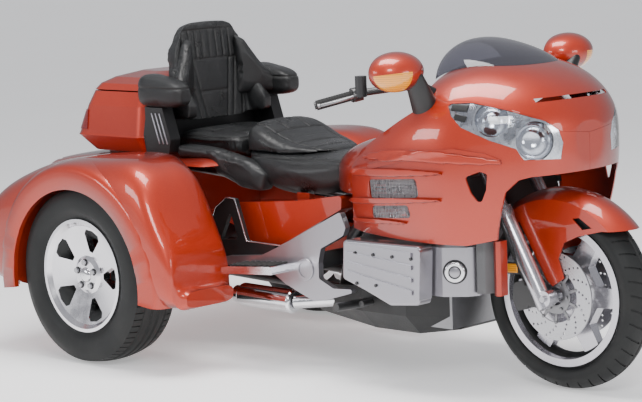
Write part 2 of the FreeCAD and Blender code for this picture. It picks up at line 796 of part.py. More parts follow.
def belly_pan():
    wall = size("panel_wall")
    seat = size("seat_gap")
    stations = [(1120, 130, 262, 225), (1000, 205, 296, 185), (700, 262, 318, 160),
                (500, 258, 318, 160), (360, 190, 300, 180), (335, 110, 280, 205)]

    def section(behind, half, top, low, inset):
        half -= inset
        low += inset
        brow = low + 0.45 * (top - low)
        points = [(-half, top), (-half, brow), (-half * 0.72, low), (half * 0.72, low),
                  (half, brow), (half, top)]
        corners = [bike(behind, y, z) for y, z in points]
        return Part.makePolygon(corners + corners[:1])

    outer = Part.makeLoft([section(*s, 0) for s in stations], True, True)
    inner = Part.makeLoft([section(s[0] + 2 * (s[0] > 1100) - 2 * (s[0] < 340), s[1], s[2] + 3,
                                   s[3], wall) for s in stations], True, True)
    block = Part.makeBox(size("crankcase_length") + 2 * seat,
                         2 * (size("crankcase_half_width") + seat), 400,
                         bike(size("crankcase_front") + seat + size("crankcase_length"),
                              -size("crankcase_half_width") - seat,
                              size("crankcase_bottom") - seat))
    pan = outer.cut(inner).cut(block)
    for side in (-1, 1):
        pan = pan.cut(rod(*exhaust_lead(side), EXHAUST_LEAD_RADIUS + seat))
        pan = pan.cut(rod(bike(880, side * 150, 270), rear(0, side * 150, 300), 26))
    keep("belly_pan", largest(pan))


EXHAUST_LEAD_RADIUS = 24


def exhaust_lead(side):
    """The two ends of the pipe that comes out of the belly pan."""
    return rear(680, side * 262, 230), rear(940, side * 172, 258)


def ahead_plate(outline, radius, inner, outer):
    """A plate on the right side from (ahead of the rear axle, z) points."""
    return side_plate([(REAR_X + ahead, z) for ahead, z in outline], radius, -inner, -outer)


def frame_covers():
    """The silver cover beside the engine, its three arms round the swing pivot."""
    inner = size("side_cover_inner")
    outer = inner + size("side_cover_thickness")
    outline = [(992, 585), (717, 453), (603, 404), (419, 386), (417, 354), (657, 366), (664, 341),
               (717, 312), (779, 289), (855, 263), (917, 274), (1091, 324), (949, 316),
               (882, 344), (881, 400), (895, 451), (1003, 504), (1016, 532)]
    cover = ahead_plate(outline, 10, inner, outer)
    hub = Part.makeCylinder(40, 7, rear(818, -outer + 1, 372), Vector(0, -1, 0))
    hub = hub.makeFillet(3, [e for e in hub.Edges if e.BoundBox.YMax < -outer - 5])
    dish = Part.makeCylinder(27, 4, rear(818, -outer - 3, 372), Vector(0, -1, 0))
    keep("frame_covers", pair(fused(cover, hub).cut(dish)))


def floorboards():
    board = ahead_plate([(502, 366), (532, 373), (748, 389), (762, 362), (507, 345)], 5,
                        size("side_cover_inner") + size("side_cover_thickness")
                        + size("seat_gap"), 452)
    keep("passenger_floorboards", pair(board))


def footpegs():
    """The rider's pegs, with a pedal on a short arm ahead of each."""
    root = rear(1020, -262.8, 262)
    peg = rod(root, rear(1014, -405, 266), 15)
    knee = rear(1022, -286, 262)
    toe = rear(1082, -306, 276)
    arm = rod(knee, toe, 7)
    pad = rod(toe + Vector(0, 10, 0), toe + Vector(0, -44, 0), 11)
    keep("rider_footpegs", pair(fused(peg, arm, pad)))


def side_panels(skirt_space):
    """The painted panels below the seat, set against the seat's skirt."""
    outline = [(406, 570), (738, 598), (855, 617), (928, 627), (925, 580), (667, 451), (618, 429),
               (439, 433)]
    panel = ahead_plate(outline, 12, 196, 268)
    hollow = ahead_plate([(430, 556), (740, 584), (900, 610), (900, 590), (652, 462), (610, 442),
                          (455, 446)], 10, 190, 256)
    bracket = Part.makeBox(60, 108, 12, rear(620, -258, 566))
    post = Part.makeBox(60, 22, 60, rear(620, -172, 566))
    skin = fused(panel.cut(hollow), bracket, post)
    keep("side_panels", pair(largest(skin.cut(skirt_space))))


def seat_trims(body_space):
    """The black three-cornered trims between the seat and the fenders."""
    outline = [(408, 595), (453, 592), (505, 443), (678, 440), (580, 400), (281, 375), (284, 417),
               (351, 556)]
    hole = [(426, 547), (461, 448), (369, 438)]
    outer = size("side_cover_inner") - size("seat_gap")
    trim = ahead_plate(outline, 8, outer - 18, outer)
    trim = trim.cut(ahead_plate(hole, 8, outer - 30, outer + 10))
    keep("seat_trims", pair(largest(trim.cut(body_space))))


def exhausts():
    lead_start, lead_end = exhaust_lead(-1)
    can_end = rear(420, -270, 236)
    along = can_end - lead_start
    can = rod(lead_start, can_end, 43)
    can = can.makeFillet(12, [e for e in can.Edges if e.Curve.TypeId == "Part::GeomCircle"])
    tail = Part.makeCylinder(30, 30, can_end - along.normalize() * 2, along)
    bore = Part.makeCylinder(25, 40, can_end + along * 8, along)
    lead = rod(lead_start, lead_end, EXHAUST_LEAD_RADIUS)
    keep("exhausts", pair(fused(can, tail, lead).cut(bore)))


# the fairing, cut from one smooth envelope

FAIRING_SECTIONS = (
    # behind the front axle, half width, top, lowest, height of the widest place
    (800, 262, 812, 330, 650),
    (700, 322, 868, 300, 680),
    (600, 362, 925, 280, 715),
    (450, 398, 1015, 260, 755),
    (300, 410, 1088, 260, 785),
    (180, 396, 1096, 300, 800),
    (80, 352, 1072, 350, 815),
    (0, 288, 1030, 440, 830),
    (-60, 205, 975, 600, 848),
    (-92, 110, 920, 720, 855),
    (-98, 60, 895, 780, 855),
)
# the headlamp is drawn in a frame whose third axis points at a viewer off the front corner
LAMP_CENTRE = (60, 240, 900)
LAMP_SIGHT = Vector(0.631, -0.769, 0.103)
LAMP_OUTLINE = (
    (-179, 66), (-170, 73), (-101, 73), (6, 46), (130, 8), (172, -22), (186, -63), (177, -115),
    (59, -115), (50, -104), (35, -79), (-51, -49), (-141, -5), (-172, 34),
)


def cowl_y(across):
    """A distance from the middle plane that follows the fairing's width."""
    return across * size("fairing_half_width") / 410


def cowl_z(height):
    """A height that follows the fairing's top above its widest place."""
    widest = 800
    share = max(0.0, height - widest) / (1096 - widest)
    return height + share * (size("fairing_height") - 1096)


def envelope(inset):
    """The fairing's sections, all drawn in by the same amount."""
    rings = []
    nose = FAIRING_SECTIONS[-1][0]
    for behind, half, top, low, middle in FAIRING_SECTIONS:
        station = behind + (inset if behind == nose else 0)
        rings.append(ring(bike(station, 0, 0).x, cowl_y(half) - inset, cowl_z(top) - inset,
                          low + inset, middle))
    return rings


def side_prism(outline, low_y, high_y, radius=0):
    """A prism across the vehicle from (behind the front axle, height) points."""
    points = [bike(behind, low_y, cowl_z(z)) for behind, z in outline]
    wire = rounded_outline(points, radius) if radius else Part.makePolygon(points + points[:1])
    return Part.Face(wire).extrude(Vector(0, high_y - low_y, 0))


def lamp_prism(outline, near=260, far=-330):
    """A prism along the line of sight of the right headlamp from (across, up) points."""
    behind, aside, height = LAMP_CENTRE
    centre = bike(behind, -cowl_y(aside), cowl_z(height))
    sight = Vector(LAMP_SIGHT).normalize()
    across = Vector(0, 0, 1).cross(sight).normalize()
    upward = sight.cross(across)
    points = [centre + across * u + upward * v + sight * far for u, v in outline]
    return Part.Face(Part.makePolygon(points + points[:1])).extrude(sight * (near - far))


def grown(outline, margin):
    """An outline with each point moved away from its middle by a margin."""
    middle_u = sum(u for u, _ in outline) / len(outline)
    middle_v = sum(v for _, v in outline) / len(outline)
    wider = []
    for u, v in outline:
        reach = math.hypot(u - middle_u, v - middle_v)
        share = 1 + margin / reach
        wider.append((middle_u + (u - middle_u) * share, middle_v + (v - middle_v) * share))
    return wider


def cowl_line(shift):
    """The seam between the nose cowl and the side fairing, in the lamp's frame."""
    return [(-520, 92 + shift), (-250, 88 + shift), (-190, 82 + shift), (-101, 78 + shift),
            (6, 51 + shift), (132, 12 + shift), (180, -26 + shift), (600, -46 + shift)]


VENTS = (
    ((530, 650), (535, 712), (300, 731), (292, 668)),
    ((530, 582), (525, 624), (345, 640), (335, 598)),
)
SCOOP = ((122, 742), (78, 760), (58, 752), (64, 700), (84, 648), (108, 690))


def fairing():
    wall = size("panel_wall")
    seam = size("panel_seam")
    skin = hollow_loft(envelope(0), envelope(wall), True)
    right = Part.makeBox(2000, 600, 1400, bike(1400, -600, 0))
    skin = skin.common(right)

    above = lamp_prism(cowl_line(seam / 2) + [(600, 500), (-520, 500)], 400, -500)
    upper = skin.common(above).cut(Part.makeBox(1000, 700, 1400, bike(1322, -650, 0)))
    slit = side_prism([(-8, 968), (-8, 980), (-70, 984), (-70, 972)], -188, 0, 4)
    upper = upper.cut(slit)
    keep("nose_cowl", fused(upper, mirrored(upper)))

    below = lamp_prism(cowl_line(-seam / 2) + [(600, -900), (-520, -900)], 400, -500)
    outline = [(735, 557), (700, 690), (592, 806), (398, 912), (274, 976), (170, 1010),
               (-200, 1010), (-200, 742), (-40, 736), (-14, 728), (18, 690), (62, 531),
               (150, 512), (330, 516), (595, 524), (700, 535)]
    side = skin.common(below).common(side_prism(outline, -500, -seam / 2))
    side = side.cut(lamp_prism(grown(LAMP_OUTLINE, seam)))
    for vent in VENTS:
        side = side.cut(side_prism(vent, -500, -250, 14))
    side = side.cut(side_prism(SCOOP, -500, -250, 10))
    brow = hollow_loft(envelope(-6), envelope(wall / 2), True)
    strip = side_prism([(540, 760), (400, 792), (280, 822), (150, 834), (60, 818), (20, 796),
                        (60, 806), (150, 820), (280, 806), (400, 774), (540, 744)], -500, -200)
    side = fused(side, brow.common(strip))
    keep("side_fairings", pair(side))

    grille = hollow_loft(envelope(wall + size("seat_gap")),
                          envelope(wall + size("seat_gap") + size("grille_thickness")))
    pieces = []
    for vent in VENTS:
        middle_d = sum(d for d, _ in vent) / 4
        middle_z = sum(z for _, z in vent) / 4
        frame_shape = [(middle_d + (d - middle_d) * 1.12, middle_z + (z - middle_z) * 1.3)
                       for d, z in vent]
        screen = grille.common(side_prism(frame_shape, -500, -250))
        for share in (0.3, 0.5, 0.7):
            low, high = vent[0][1], vent[1][1]
            level = low + share * (high - low)
            slot = [(d, level + tilt + rise) for d, tilt, rise in (
                (510, 0, -4), (510, 0, 4), (320, 14, 4), (320, 14, -4))]
            screen = screen.cut(side_prism(slot, -500, -250))
        pieces.append(screen)
    right_side = Part.makeCompound(pieces)
    keep("vent_grilles", Part.makeCompound(
        right_side.Solids + [mirrored(solid) for solid in right_side.Solids]))


def headlamps():
    glass = 4
    block = Part.makeLoft(envelope(0.2), True, False)
    lamp = block.common(lamp_prism(LAMP_OUTLINE, 400, -70))
    inner = Part.makeLoft(envelope(glass + 0.2), True, False)
    lens = lamp.cut(inner)
    bowl = lamp.common(inner)
    behind, aside, height = LAMP_CENTRE
    centre = bike(behind, -cowl_y(aside), cowl_z(height))
    sight = Vector(LAMP_SIGHT).normalize()
    across = Vector(0, 0, 1).cross(sight).normalize()
    upward = sight.cross(across)
    for u, v, radius in ((-40, 10, 62), (90, -55, 66)):
        bowl = bowl.cut(Part.makeSphere(radius, centre + across * u + upward * v + sight * 30))
    lenses = [s for s in lens.Solids if s.Volume > 1000]
    bowls = [s for s in bowl.Solids if s.Volume > 1000]
    keep("headlamp_lenses", Part.makeCompound(lenses + [mirrored(s) for s in lenses]))
    keep("headlamp_bowls", Part.makeCompound(bowls + [mirrored(s) for s in bowls]))


def tank_shelter():
    wall = size("panel_wall")

    def sections(inset):
        stations = [(845, 200, 768.5, 560, 690), (800, 238, 796, 560, 690), (700, 292, 826, 560, 700),
                    (600, 314, 846, 560, 710), (515, 326, 858, 560, 720)]
        return [ring(bike(d, 0, 0).x, cowl_y(half) - inset, top - inset, low + inset, middle, 3.2)
                for d, half, top, low, middle in stations]

    shell = hollow_loft(sections(0), sections(wall))
    shelter = shell.common(Part.makeBox(700, 900, 300, bike(900, -450, 640)))
    keep("tank_shelter", largest(shelter.cut(soft(SKIRT_STATIONS, growth=size("seat_gap")))))


def windscreen():
    wall = size("screen_wall")

    def sections(inset):
        stations = [(395, 190, 1142), (340, 214, 1159), (250, 225, 1146), (160, 210, 1116),
                    (100, 184, 1082), (50, 150, 1046)]
        return [ring(bike(d, 0, 0).x, cowl_y(half) - inset, cowl_z(top) - inset,
                     900 + inset, 1010, 2.2, 16) for d, half, top in stations]

    shell = hollow_loft(sections(0), sections(wall))
    clear = Part.makeLoft(envelope(-size("seat_gap")), True, False)
    ahead = Part.makeBox(400, 600, 400, bike(394, -300, 1000))
    keep("windscreen", largest(shell.cut(clear).common(ahead)))


def dash():
    wall = size("panel_wall")
    inside = Part.makeLoft(envelope(wall + 0.3), True, False)
    slab = side_prism([(298, 1100), (298, 1020), (262, 965), (225, 958), (225, 985),
                       (262, 1030), (262, 1100)], -400, 400)
    lamp_space = lamp_prism(grown(LAMP_OUTLINE, 2), 400, -80)
    keep("dash_panel", largest(inside.common(slab).cut([lamp_space, mirrored(lamp_space)])))


def mirrors():
    reach = Vector(82, 104, 66)

    def egg(growth):
        ball = Part.makeSphere(1, Vector(0, 0, 0))
        stretch = FreeCAD.Matrix()
        stretch.scale(reach.x + growth, reach.y + growth, reach.z + growth)
        return ball.transformGeometry(stretch)

    centre = bike(335, -cowl_y(452), cowl_z(1078))
    back = Part.makeBox(100, 400, 400, Vector(-132, -200, -200))
    corner = Part.Face(Part.makePolygon([
        Vector(-4, -300, -6), Vector(300, -300, 30), Vector(300, -300, -300),
        Vector(-4, -300, -300), Vector(-4, -300, -6)])).extrude(Vector(0, 292, 0))
    whole = egg(0).cut(back)
    lens = whole.common(corner)
    housing = whole.cut(corner)
    hollow = Part.makeBox(30, 2 * reach.y - 66, 2 * reach.z - 50,
                          Vector(-40, 33 - reach.y, 25 - reach.z))
    housing = housing.cut(hollow)
    glass = Part.makeBox(3, 2 * reach.y - 68, 2 * reach.z - 52,
                         Vector(-13.3, 34 - reach.y, 26 - reach.z))
    stalk = rod(Vector(8, 60, -36), Vector(66, 180, -110), 20)
    stalk = stalk.cut(egg(0.3))
    for piece in (housing, lens, glass, stalk):
        piece.translate(centre)
    stalk = largest(stalk.cut(Part.makeLoft(envelope(-0.3), True, False)))
    keep("mirror_housings", pair(housing))
    keep("mirror_lamps", pair(lens))
    keep("mirror_glasses", pair(glass))
    keep("mirror_stalks", pair(stalk))


# seats and luggage box


def soft(stations, power=3.2, count=16, growth=0.0):
    """A cushion through sections given as (ahead of the rear axle, half width, top, bottom)."""
    return Part.makeLoft([ring(rear(ahead, 0, 0).x, half + growth, top + growth, low - growth,
                               (top + low) / 2, power, count)
                          for ahead, half, top, low in stations], True, False)


def shifted(shape, across):
    shape.translate(Vector(0, across, 0))
    return shape


SKIRT_STATIONS = (
    # ahead of the rear axle, half width, top, bottom
    (378, 168, 770, 672), (420, 196, 772, 640), (520, 214, 764, 598), (640, 212, 752, 594),
    (760, 200, 752, 596), (850, 172, 762, 628), (905, 120, 768, 680), (925, 60, 764, 706),
)


def seats():
    """The stepped seat: its skirt on the rails, two cushions, and the black parts round them."""
    seat = size("seat_gap")
    skirt = soft(SKIRT_STATIONS)
    for side in (-1, 1):
        skirt = skirt.cut(rod(*seat_rail(side), size("rail_radius") + seat))
    keep("seat_skirt", largest(skirt))
    skirt_space = soft(SKIRT_STATIONS, growth=0.4)
    pad = soft([(352, 132, 826, 700), (380, 176, 856, 700), (430, 190, 846, 700),
                (520, 186, 802, 700), (610, 160, 778, 700), (680, 104, 768, 700),
                (712, 40, 758, 716)])
    keep("rider_seat", largest(pad.cut(skirt_space).cut(tub(seat))))
    side_panels(skirt_space)
    seat_trims(tub(seat).fuse([pod(-1, seat), pod(1, seat)]))
    cushion = soft([(2, 176, 792, 722), (40, 200, 812, 718), (140, 208, 814, 718),
                    (260, 204, 812, 720), (330, 188, 806, 720), (348, 168, 790, 724)], 4.0)
    keep("passenger_seat", largest(cushion.cut(tub(seat)).cut(skirt_space)))


def backrest_shape():
    """The passenger's backrest with its side wings, leaning back a little."""
    tilt = Rotation(Vector(0, 1, 0), -7)
    back = plate([Vector(0, -172, 0), Vector(0, -196, 120), Vector(0, -186, 270),
                  Vector(0, -118, 374), Vector(0, 118, 374), Vector(0, 186, 270),
                  Vector(0, 196, 120), Vector(0, 172, 0)], 70, Vector(66, 0, 0))
    wing = plate([Vector(30, -214, 8), Vector(142, -214, 8), Vector(150, -214, 60),
                  Vector(66, -214, 200), Vector(30, -214, 216)], 22, Vector(0, 52, 0))
    whole = fused(back, wing, mirrored(wing))
    whole.Placement = Placement(rear(-12, 0, 828), tilt)
    return whole


ARM_STATIONS = (
    # ahead of the rear axle, half width, top, bottom
    (-48, 36, 1006, 915), (-25, 52, 1026, 904), (60, 54, 1022, 902),
    (130, 52, 1008, 902), (168, 40, 990, 912), (182, 22, 972, 926),
)


def armrests():
    keep("backrest", backrest_shape())
    keep("armrests", pair(shifted(soft(ARM_STATIONS), -284)))


def box_level(height, back, front, half, radius):
    """A rounded rectangle at this height of the luggage box."""
    return rounded_outline([rear(back, -half, height), rear(front, -half, height),
                            rear(front, half, height), rear(back, half, height)], radius)


def luggage_box():
    """The box on the tail: a moulded lower half, a domed lid on two hinges, and what carries it."""
    half = size("box_half_width")
    wall = size("box_wall")
    low, parting, top = size("box_bottom"), size("box_parting"), size("box_top")
    front = -60
    back = front - size("box_length")
    seam = size("lid_gap")
    seat = size("seat_gap")

    def levels(inset):
        sides = [(low + inset, back + 62, half - 34), (low + 58, back, half),
                 (low + 66, back + 4, half - 3), (low + 172, back + 46, half - 16),
                 (parting, back + 66, half - 36)]
        return [box_level(z, b + inset, front - inset, h - inset, 44 - inset)
                for z, b, h in sides]

    def dome(inset):
        sides = [(parting + seam, back + 68, half - 36, 0), (parting + 28, back + 86, half - 52, 4),
                 (parting + 50, back + 124, half - 92, 14), (top, back + 190, half - 170, 50)]
        rise = [0, 0, 0, inset]
        return [box_level(z - r, b + inset, front - f - inset, h - inset, 44 - inset)
                for (z, b, h, f), r in zip(sides, rise)]

    shell = Part.makeLoft(levels(0), True, True).cut(Part.makeLoft(levels(wall) + [
        box_level(parting + 1, back + 66 + wall, front - wall, half - 36 - wall, 44 - wall)],
        True, True))
    plinth = Part.Face(box_level(low - 40, back + 96, front - 24, half - 74, 30)).extrude(
        Vector(0, 0, 42))
    keep("luggage_box", largest(fused(shell, plinth).cut(tub(seat))))
    under = dome(wall)
    foot = box_level(parting + seam - 1, back + 68 + wall, front - wall, half - 36 - wall, 44 - wall)
    lid = Part.makeLoft(dome(0), True, True).cut(Part.makeLoft([foot] + under, True, True))

    hinge_x, hinge_z = -48, parting + 2
    barrel, pin = size("hinge_radius"), size("hinge_pin_radius")
    tongues = []
    for middle in (-150, 150):
        knuckle = Part.makeCylinder(barrel, 40, rear(hinge_x, middle - 20, hinge_z), Vector(0, 1, 0))
        strap = Part.makeBox(30, 40, 5, rear(front - wall - 6, middle - 20, parting + seam + 1))
        tongues.append(fused(knuckle, strap))
    bores = [Part.makeCylinder(pin + 0.2, 60, rear(hinge_x, middle - 30, hinge_z), Vector(0, 1, 0))
             for middle in (-150, 150)]
    keep("luggage_lid", largest(fused(lid, *tongues).cut(bores)))

    panel = plate([rear(front + seat, -half + 20, low - 24), rear(front + seat, half - 20, low - 24),
                   rear(front + seat, half - 4, low + 70), rear(front + seat, half - 34, parting - 6),
                   rear(front + seat, 34 - half, parting - 6),
                   rear(front + seat, 4 - half, low + 70)], 12, Vector(40, 0, 0))
    for middle in (-150, 150):
        panel = panel.cut(Part.makeBox(60, 52, 60, rear(front - 10, middle - 26, parting - 11)))
        for end in (-1, 1):
            lug_y = middle + end * 21 - (8 if end < 0 else 0)
            lug = Part.makeCylinder(barrel, 8, rear(hinge_x, lug_y, hinge_z), Vector(0, 1, 0))
            foot = Part.makeBox(2 * barrel, 8, 24, rear(hinge_x - barrel, lug_y, hinge_z - 24))
            panel = panel.fuse([lug, foot])
        panel = panel.fuse(Part.makeCylinder(pin, 52, rear(hinge_x, middle - 26, hinge_z),
                                             Vector(0, 1, 0)))
    pod_block = plate([rear(-30, 40 - half, low + 6), rear(92, 40 - half, low + 6),
                       rear(104, 40 - half, low + 60), rear(60, 40 - half, low + 192),
                       rear(-30, 40 - half, low + 192)], 16, Vector(0, -50, 0))
    leaning = backrest_shape()
    leaning.translate(Vector(-seat - 0.1, 0, 0))
    arm_space = shifted(soft(ARM_STATIONS, growth=seat), -284)
    carrier = fused(panel, pod_block, mirrored(pod_block))
    carrier = carrier.cut([backrest_shape(), leaning, tub(seat), arm_space, mirrored(arm_space)])
    keep("box_front", largest(carrier))

    outer = Part.makeLoft(levels(-4), True, True)
    clear = Part.makeLoft(levels(-seat), True, True)
    keep("box_lamps", pair(largest(lens_block(back, half, low).common(outer).cut(clear))))


def lens_block(back, half, low):
    """The space that the right rear lamp of the luggage box fills, round its corner."""
    return Part.makeBox(96, 150, 74, rear(back - 20, -half - 10, low + 80))


# the rear body: two fenders joined by a deck over the axle, with a trunk that opens at the back

POD_SECTIONS = (
    # ahead of the rear axle, inner face, outer face, top, bottom
    (-560, 300, 650, 520, 300),
    (-530, 300, 684, 560, 268),
    (-440, 300, 704, 630, 252),
    (-320, 300, 711, 684, 246),
    (-200, 300, 712, 722, 246),
    (-60, 300, 712, 744, 246),
    (90, 300, 712, 756, 244),
    (220, 330, 712, 758, 240),
    (300, 372, 712, 742, 238),
    (360, 384, 710, 700, 236),
    (410, 388, 704, 610, 236),
    (450, 392, 694, 520, 238),
    (485, 398, 675, 410, 240),
    (515, 408, 632, 304, 244),
)


def body_y(outward):
    """A distance from the middle plane that follows the rear body's width."""
    return outward + size("body_half_width") - 712


def pod(side, growth=0.0):
    """One fender as a solid, before its wheel well is cut."""
    rings = []
    last = len(POD_SECTIONS) - 1
    for index, (ahead, inner, outer, top, low) in enumerate(POD_SECTIONS):
        middle = (body_y(outer) + inner) / 2
        station = ahead + growth * (index == last) - growth * (index == 0)
        section = ring(rear(station, 0, 0).x, (body_y(outer) - inner) / 2 + growth, top + growth,
                       low - growth, (top + low) / 2, 4.0, 24)
        section.translate(Vector(0, side * middle, 0))
        rings.append(section)
    return Part.makeLoft(rings, True, False)


TUB_SECTIONS = (
    # ahead of the rear axle, what the half width loses, how far the top rises over the deck
    (-556, 6, -32), (-500, 0, -22), (-300, 0, -4), (100, 0, 0), (260, 6, 4), (306, 16, -8),
    (330, 44, -36),
)


def tub(growth=0.0):
    """The middle of the body as a solid, before its trunk and axle tunnel are cut."""
    deck = size("deck_height")
    half = size("deck_half_width")
    rings = []
    last = len(TUB_SECTIONS) - 1
    for index, (ahead, loss, rise) in enumerate(TUB_SECTIONS):
        station = ahead + growth * (index == last) - growth * (index == 0)
        rings.append(ring(rear(station, 0, 0).x, half - loss + growth, deck + rise + growth,
                          262 - growth, 500, 6.0, 24))
    return Part.makeLoft(rings, True, False)


def wheel_space(side):
    """What a rear wheel's well and its arch take out of the body."""
    well = size("well_radius")
    inner = size("rear_wheel_offset") - size("rear_tyre_width") / 2 - size("well_clearance")
    outer = size("body_half_width") - size("arch_lip")
    across = Vector(0, side, 0)
    axle = Vector(REAR_X, side * inner, size("rear_tyre_radius"))
    space = Part.makeCylinder(well, outer - inner, axle, across)
    below = Part.makeBox(2 * well, outer - inner, 500, Vector(-well, 0, -500))
    below.translate(Vector(REAR_X, inner if side > 0 else -outer, size("rear_tyre_radius")))
    arch = Part.makeCylinder(size("arch_radius"), 300, axle + Vector(0, 0, -size("arch_drop")),
                             across)
    return [space, below, arch]


def rear_body():
    """Fenders, deck and trunk walls in one moulding, and the door that closes the trunk."""
    wall = size("trunk_wall")
    inside = size("deck_half_width") - wall
    floor = size("trunk_floor")
    rise = size("trunk_height")
    depth = size("trunk_depth")
    gap = size("door_gap")
    tail = -size("tail_overhang")
    body = tub().fuse([pod(-1), pod(1)])
    for side in (-1, 1):
        for space in wheel_space(side):
            body = body.cut(space)
    tunnel_top = floor - size("floor_thickness")
    bay_start = tail + depth + wall
    bay_top = size("deck_height") - size("deck_thickness")
    body = body.cut(Part.makeBox(1200, 2 * inside, tunnel_top - 200,
                                 rear(tail + 20 + wall, -inside, 200)))
    body = body.cut(Part.makeBox(1200, 2 * inside, bay_top - tunnel_top + 2,
                                 rear(bay_start, -inside, tunnel_top - 2)))
    for side in (-1, 1):
        tube = Part.makeCylinder(size("axle_tube_radius") + 8, 500, Vector(
            REAR_X, side * (inside - 40), size("rear_tyre_radius")), Vector(0, side, 0))
        body = body.cut(tube)
    hinge_x, hinge_z = tail + 10, floor - size("hinge_drop")
    barrel, pin = size("hinge_radius") - 1, size("hinge_pin_radius")
    notch_low = hinge_z - barrel - 4
    door_zone = Part.makeBox(40 + wall * 2, 2 * inside, rise, rear(tail - 30, -inside, floor))
    door = body.common(door_zone)
    body = body.cut(Part.makeBox(40 + wall * 2, 2 * (inside + gap), rise + 2 * gap,
                                 rear(tail - 30, -inside - gap, floor - gap)))
    body = body.cut(Part.makeBox(depth, 2 * (inside - 12), rise - 14,
                                 rear(tail, 12 - inside, floor + 4)))
    pieces, bores = [], []
    for middle in (-240, 240):
        body = body.cut(Part.makeBox(58, 66, floor - gap - notch_low + 2,
                                     rear(tail - 30, middle - 33, notch_low)))
        knuckle = Part.makeCylinder(barrel, 36, rear(hinge_x, middle - 18, hinge_z), Vector(0, 1, 0))
        strap = Part.makeBox(2 * barrel - 2, 36, size("hinge_drop") + 6,
                             rear(hinge_x - barrel + 2, middle - 18, hinge_z))
        pieces.append(fused(knuckle, strap))
        bores.append(Part.makeCylinder(pin + 0.2, 50, rear(hinge_x, middle - 25, hinge_z),
                                       Vector(0, 1, 0)))
        for end in (-1, 1):
            lug_y = middle + end * 19 - (10 if end < 0 else 0)
            lug = Part.makeCylinder(barrel, 10, rear(hinge_x, lug_y, hinge_z), Vector(0, 1, 0))
            arm = Part.makeBox(30, 10, 2 * barrel, rear(hinge_x, lug_y, hinge_z - barrel))
            body = body.fuse([lug, arm])
        body = body.fuse(Part.makeCylinder(pin, 66, rear(hinge_x, middle - 33, hinge_z),
                                           Vector(0, 1, 0)))
    holes = size("plate_spacing") / 2
    for y in (-holes, holes):
        body = body.cut(Part.makeCylinder(size("plate_hole_radius"), 90, rear(
            tail - 20, y, size("plate_height")), Vector(1, 0, 0)))
    seat = size("seat_gap")
    lenses = []
    whole = pod(-1)
    for height in (455, 385):
        block = tail_lens(height, 0)
        lenses.append(largest(whole.common(block)))
        space = tail_lens(height, seat)
        body = body.cut([space, mirrored(space)])
    keep("rear_body", largest(body))
    keep("trunk_door", largest(fused(largest(door), *pieces).cut(bores)))
    keep("tail_lamps", Part.makeCompound(lenses + [mirrored(lens) for lens in lenses]))


def tail_lens(height, growth):
    """The space of one long lens in the rear face of the right fender."""
    across, tall, deep = 74 + growth, 27 + growth, 16 + growth
    middle = -body_y(530)
    start = -size("tail_overhang") + deep
    corners = [rear(start, middle - across, height - tall), rear(start, middle + across, height - tall),
               rear(start, middle + across, height + tall), rear(start, middle - across, height + tall)]
    return plate(corners, 14, Vector(-60, 0, 0))


front_wheel()
rear_wheel(-1, "right")
rear_wheel(1, "left")
fork()
handlebars()
front_fender()
calipers()
frame()
rear_axle()
engine()
valve_covers()
engine_front()
belly_pan()
frame_covers()
floorboards()
footpegs()
exhausts()
fairing()
headlamps()
radiator_panel()
tank_shelter()
windscreen()
dash()
mirrors()
seats()
armrests()
luggage_box()
rear_body()

doc.recompute()
for item in doc.Objects:
    if "Invalid" in item.State or "Error" in item.State:
        raise SystemExit("%s did not build: %s" % (item.Name, item.State))
os.makedirs("parts", exist_ok=True)
broken = []
for name, piece in sorted(nodes.items()):
    shape = piece.Shape
    if shape.isNull() or not shape.isValid() or not shape.Solids:
        broken.append(name)
        continue
    Part.makeCompound(shape.Solids).exportStep("parts/%s.step" % name)
    print(name, len(shape.Solids), round(sum(s.Volume for s in shape.Solids) / 1e6, 3))
if broken:
    raise SystemExit("no valid solid: " + ", ".join(broken))
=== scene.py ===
"""The finishes, cushions, tyres and small fittings of a three-wheeled touring motorcycle.

The bodywork, engine covers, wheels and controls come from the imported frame, and each keeps its
place. X points to the front, Y to the left and Z up, in metres.
"""
import json
import math

import bpy
from mathutils import Matrix, Vector

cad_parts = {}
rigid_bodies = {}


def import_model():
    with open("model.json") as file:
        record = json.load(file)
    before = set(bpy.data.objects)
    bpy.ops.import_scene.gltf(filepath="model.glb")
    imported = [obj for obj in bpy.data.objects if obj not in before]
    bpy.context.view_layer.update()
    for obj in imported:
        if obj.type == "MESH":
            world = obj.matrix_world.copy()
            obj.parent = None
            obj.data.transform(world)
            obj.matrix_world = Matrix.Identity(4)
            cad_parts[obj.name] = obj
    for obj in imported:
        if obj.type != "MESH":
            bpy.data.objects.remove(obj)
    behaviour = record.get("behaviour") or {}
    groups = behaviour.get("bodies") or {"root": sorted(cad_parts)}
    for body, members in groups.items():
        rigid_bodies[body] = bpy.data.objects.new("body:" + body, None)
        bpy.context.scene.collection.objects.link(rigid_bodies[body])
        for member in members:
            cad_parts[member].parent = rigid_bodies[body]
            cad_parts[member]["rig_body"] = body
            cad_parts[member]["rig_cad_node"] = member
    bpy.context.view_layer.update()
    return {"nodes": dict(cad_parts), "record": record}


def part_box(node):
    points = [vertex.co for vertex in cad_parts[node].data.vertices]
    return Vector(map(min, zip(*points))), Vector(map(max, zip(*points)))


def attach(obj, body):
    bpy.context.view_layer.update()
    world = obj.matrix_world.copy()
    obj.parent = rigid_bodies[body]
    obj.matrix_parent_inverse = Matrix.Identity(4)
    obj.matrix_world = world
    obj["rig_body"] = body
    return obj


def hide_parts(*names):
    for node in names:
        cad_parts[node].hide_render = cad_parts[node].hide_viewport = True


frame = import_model()
NODES = frame["nodes"]
SLOT_OF = {part["node"]: part["material_slot"] for part in frame["record"]["subparts"]}
SIDES = ((-1, "right"), (1, "left"))


# where things are, worked out from the frame

def centre_of(node):
    low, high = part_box(node)
    return (low + high) / 2


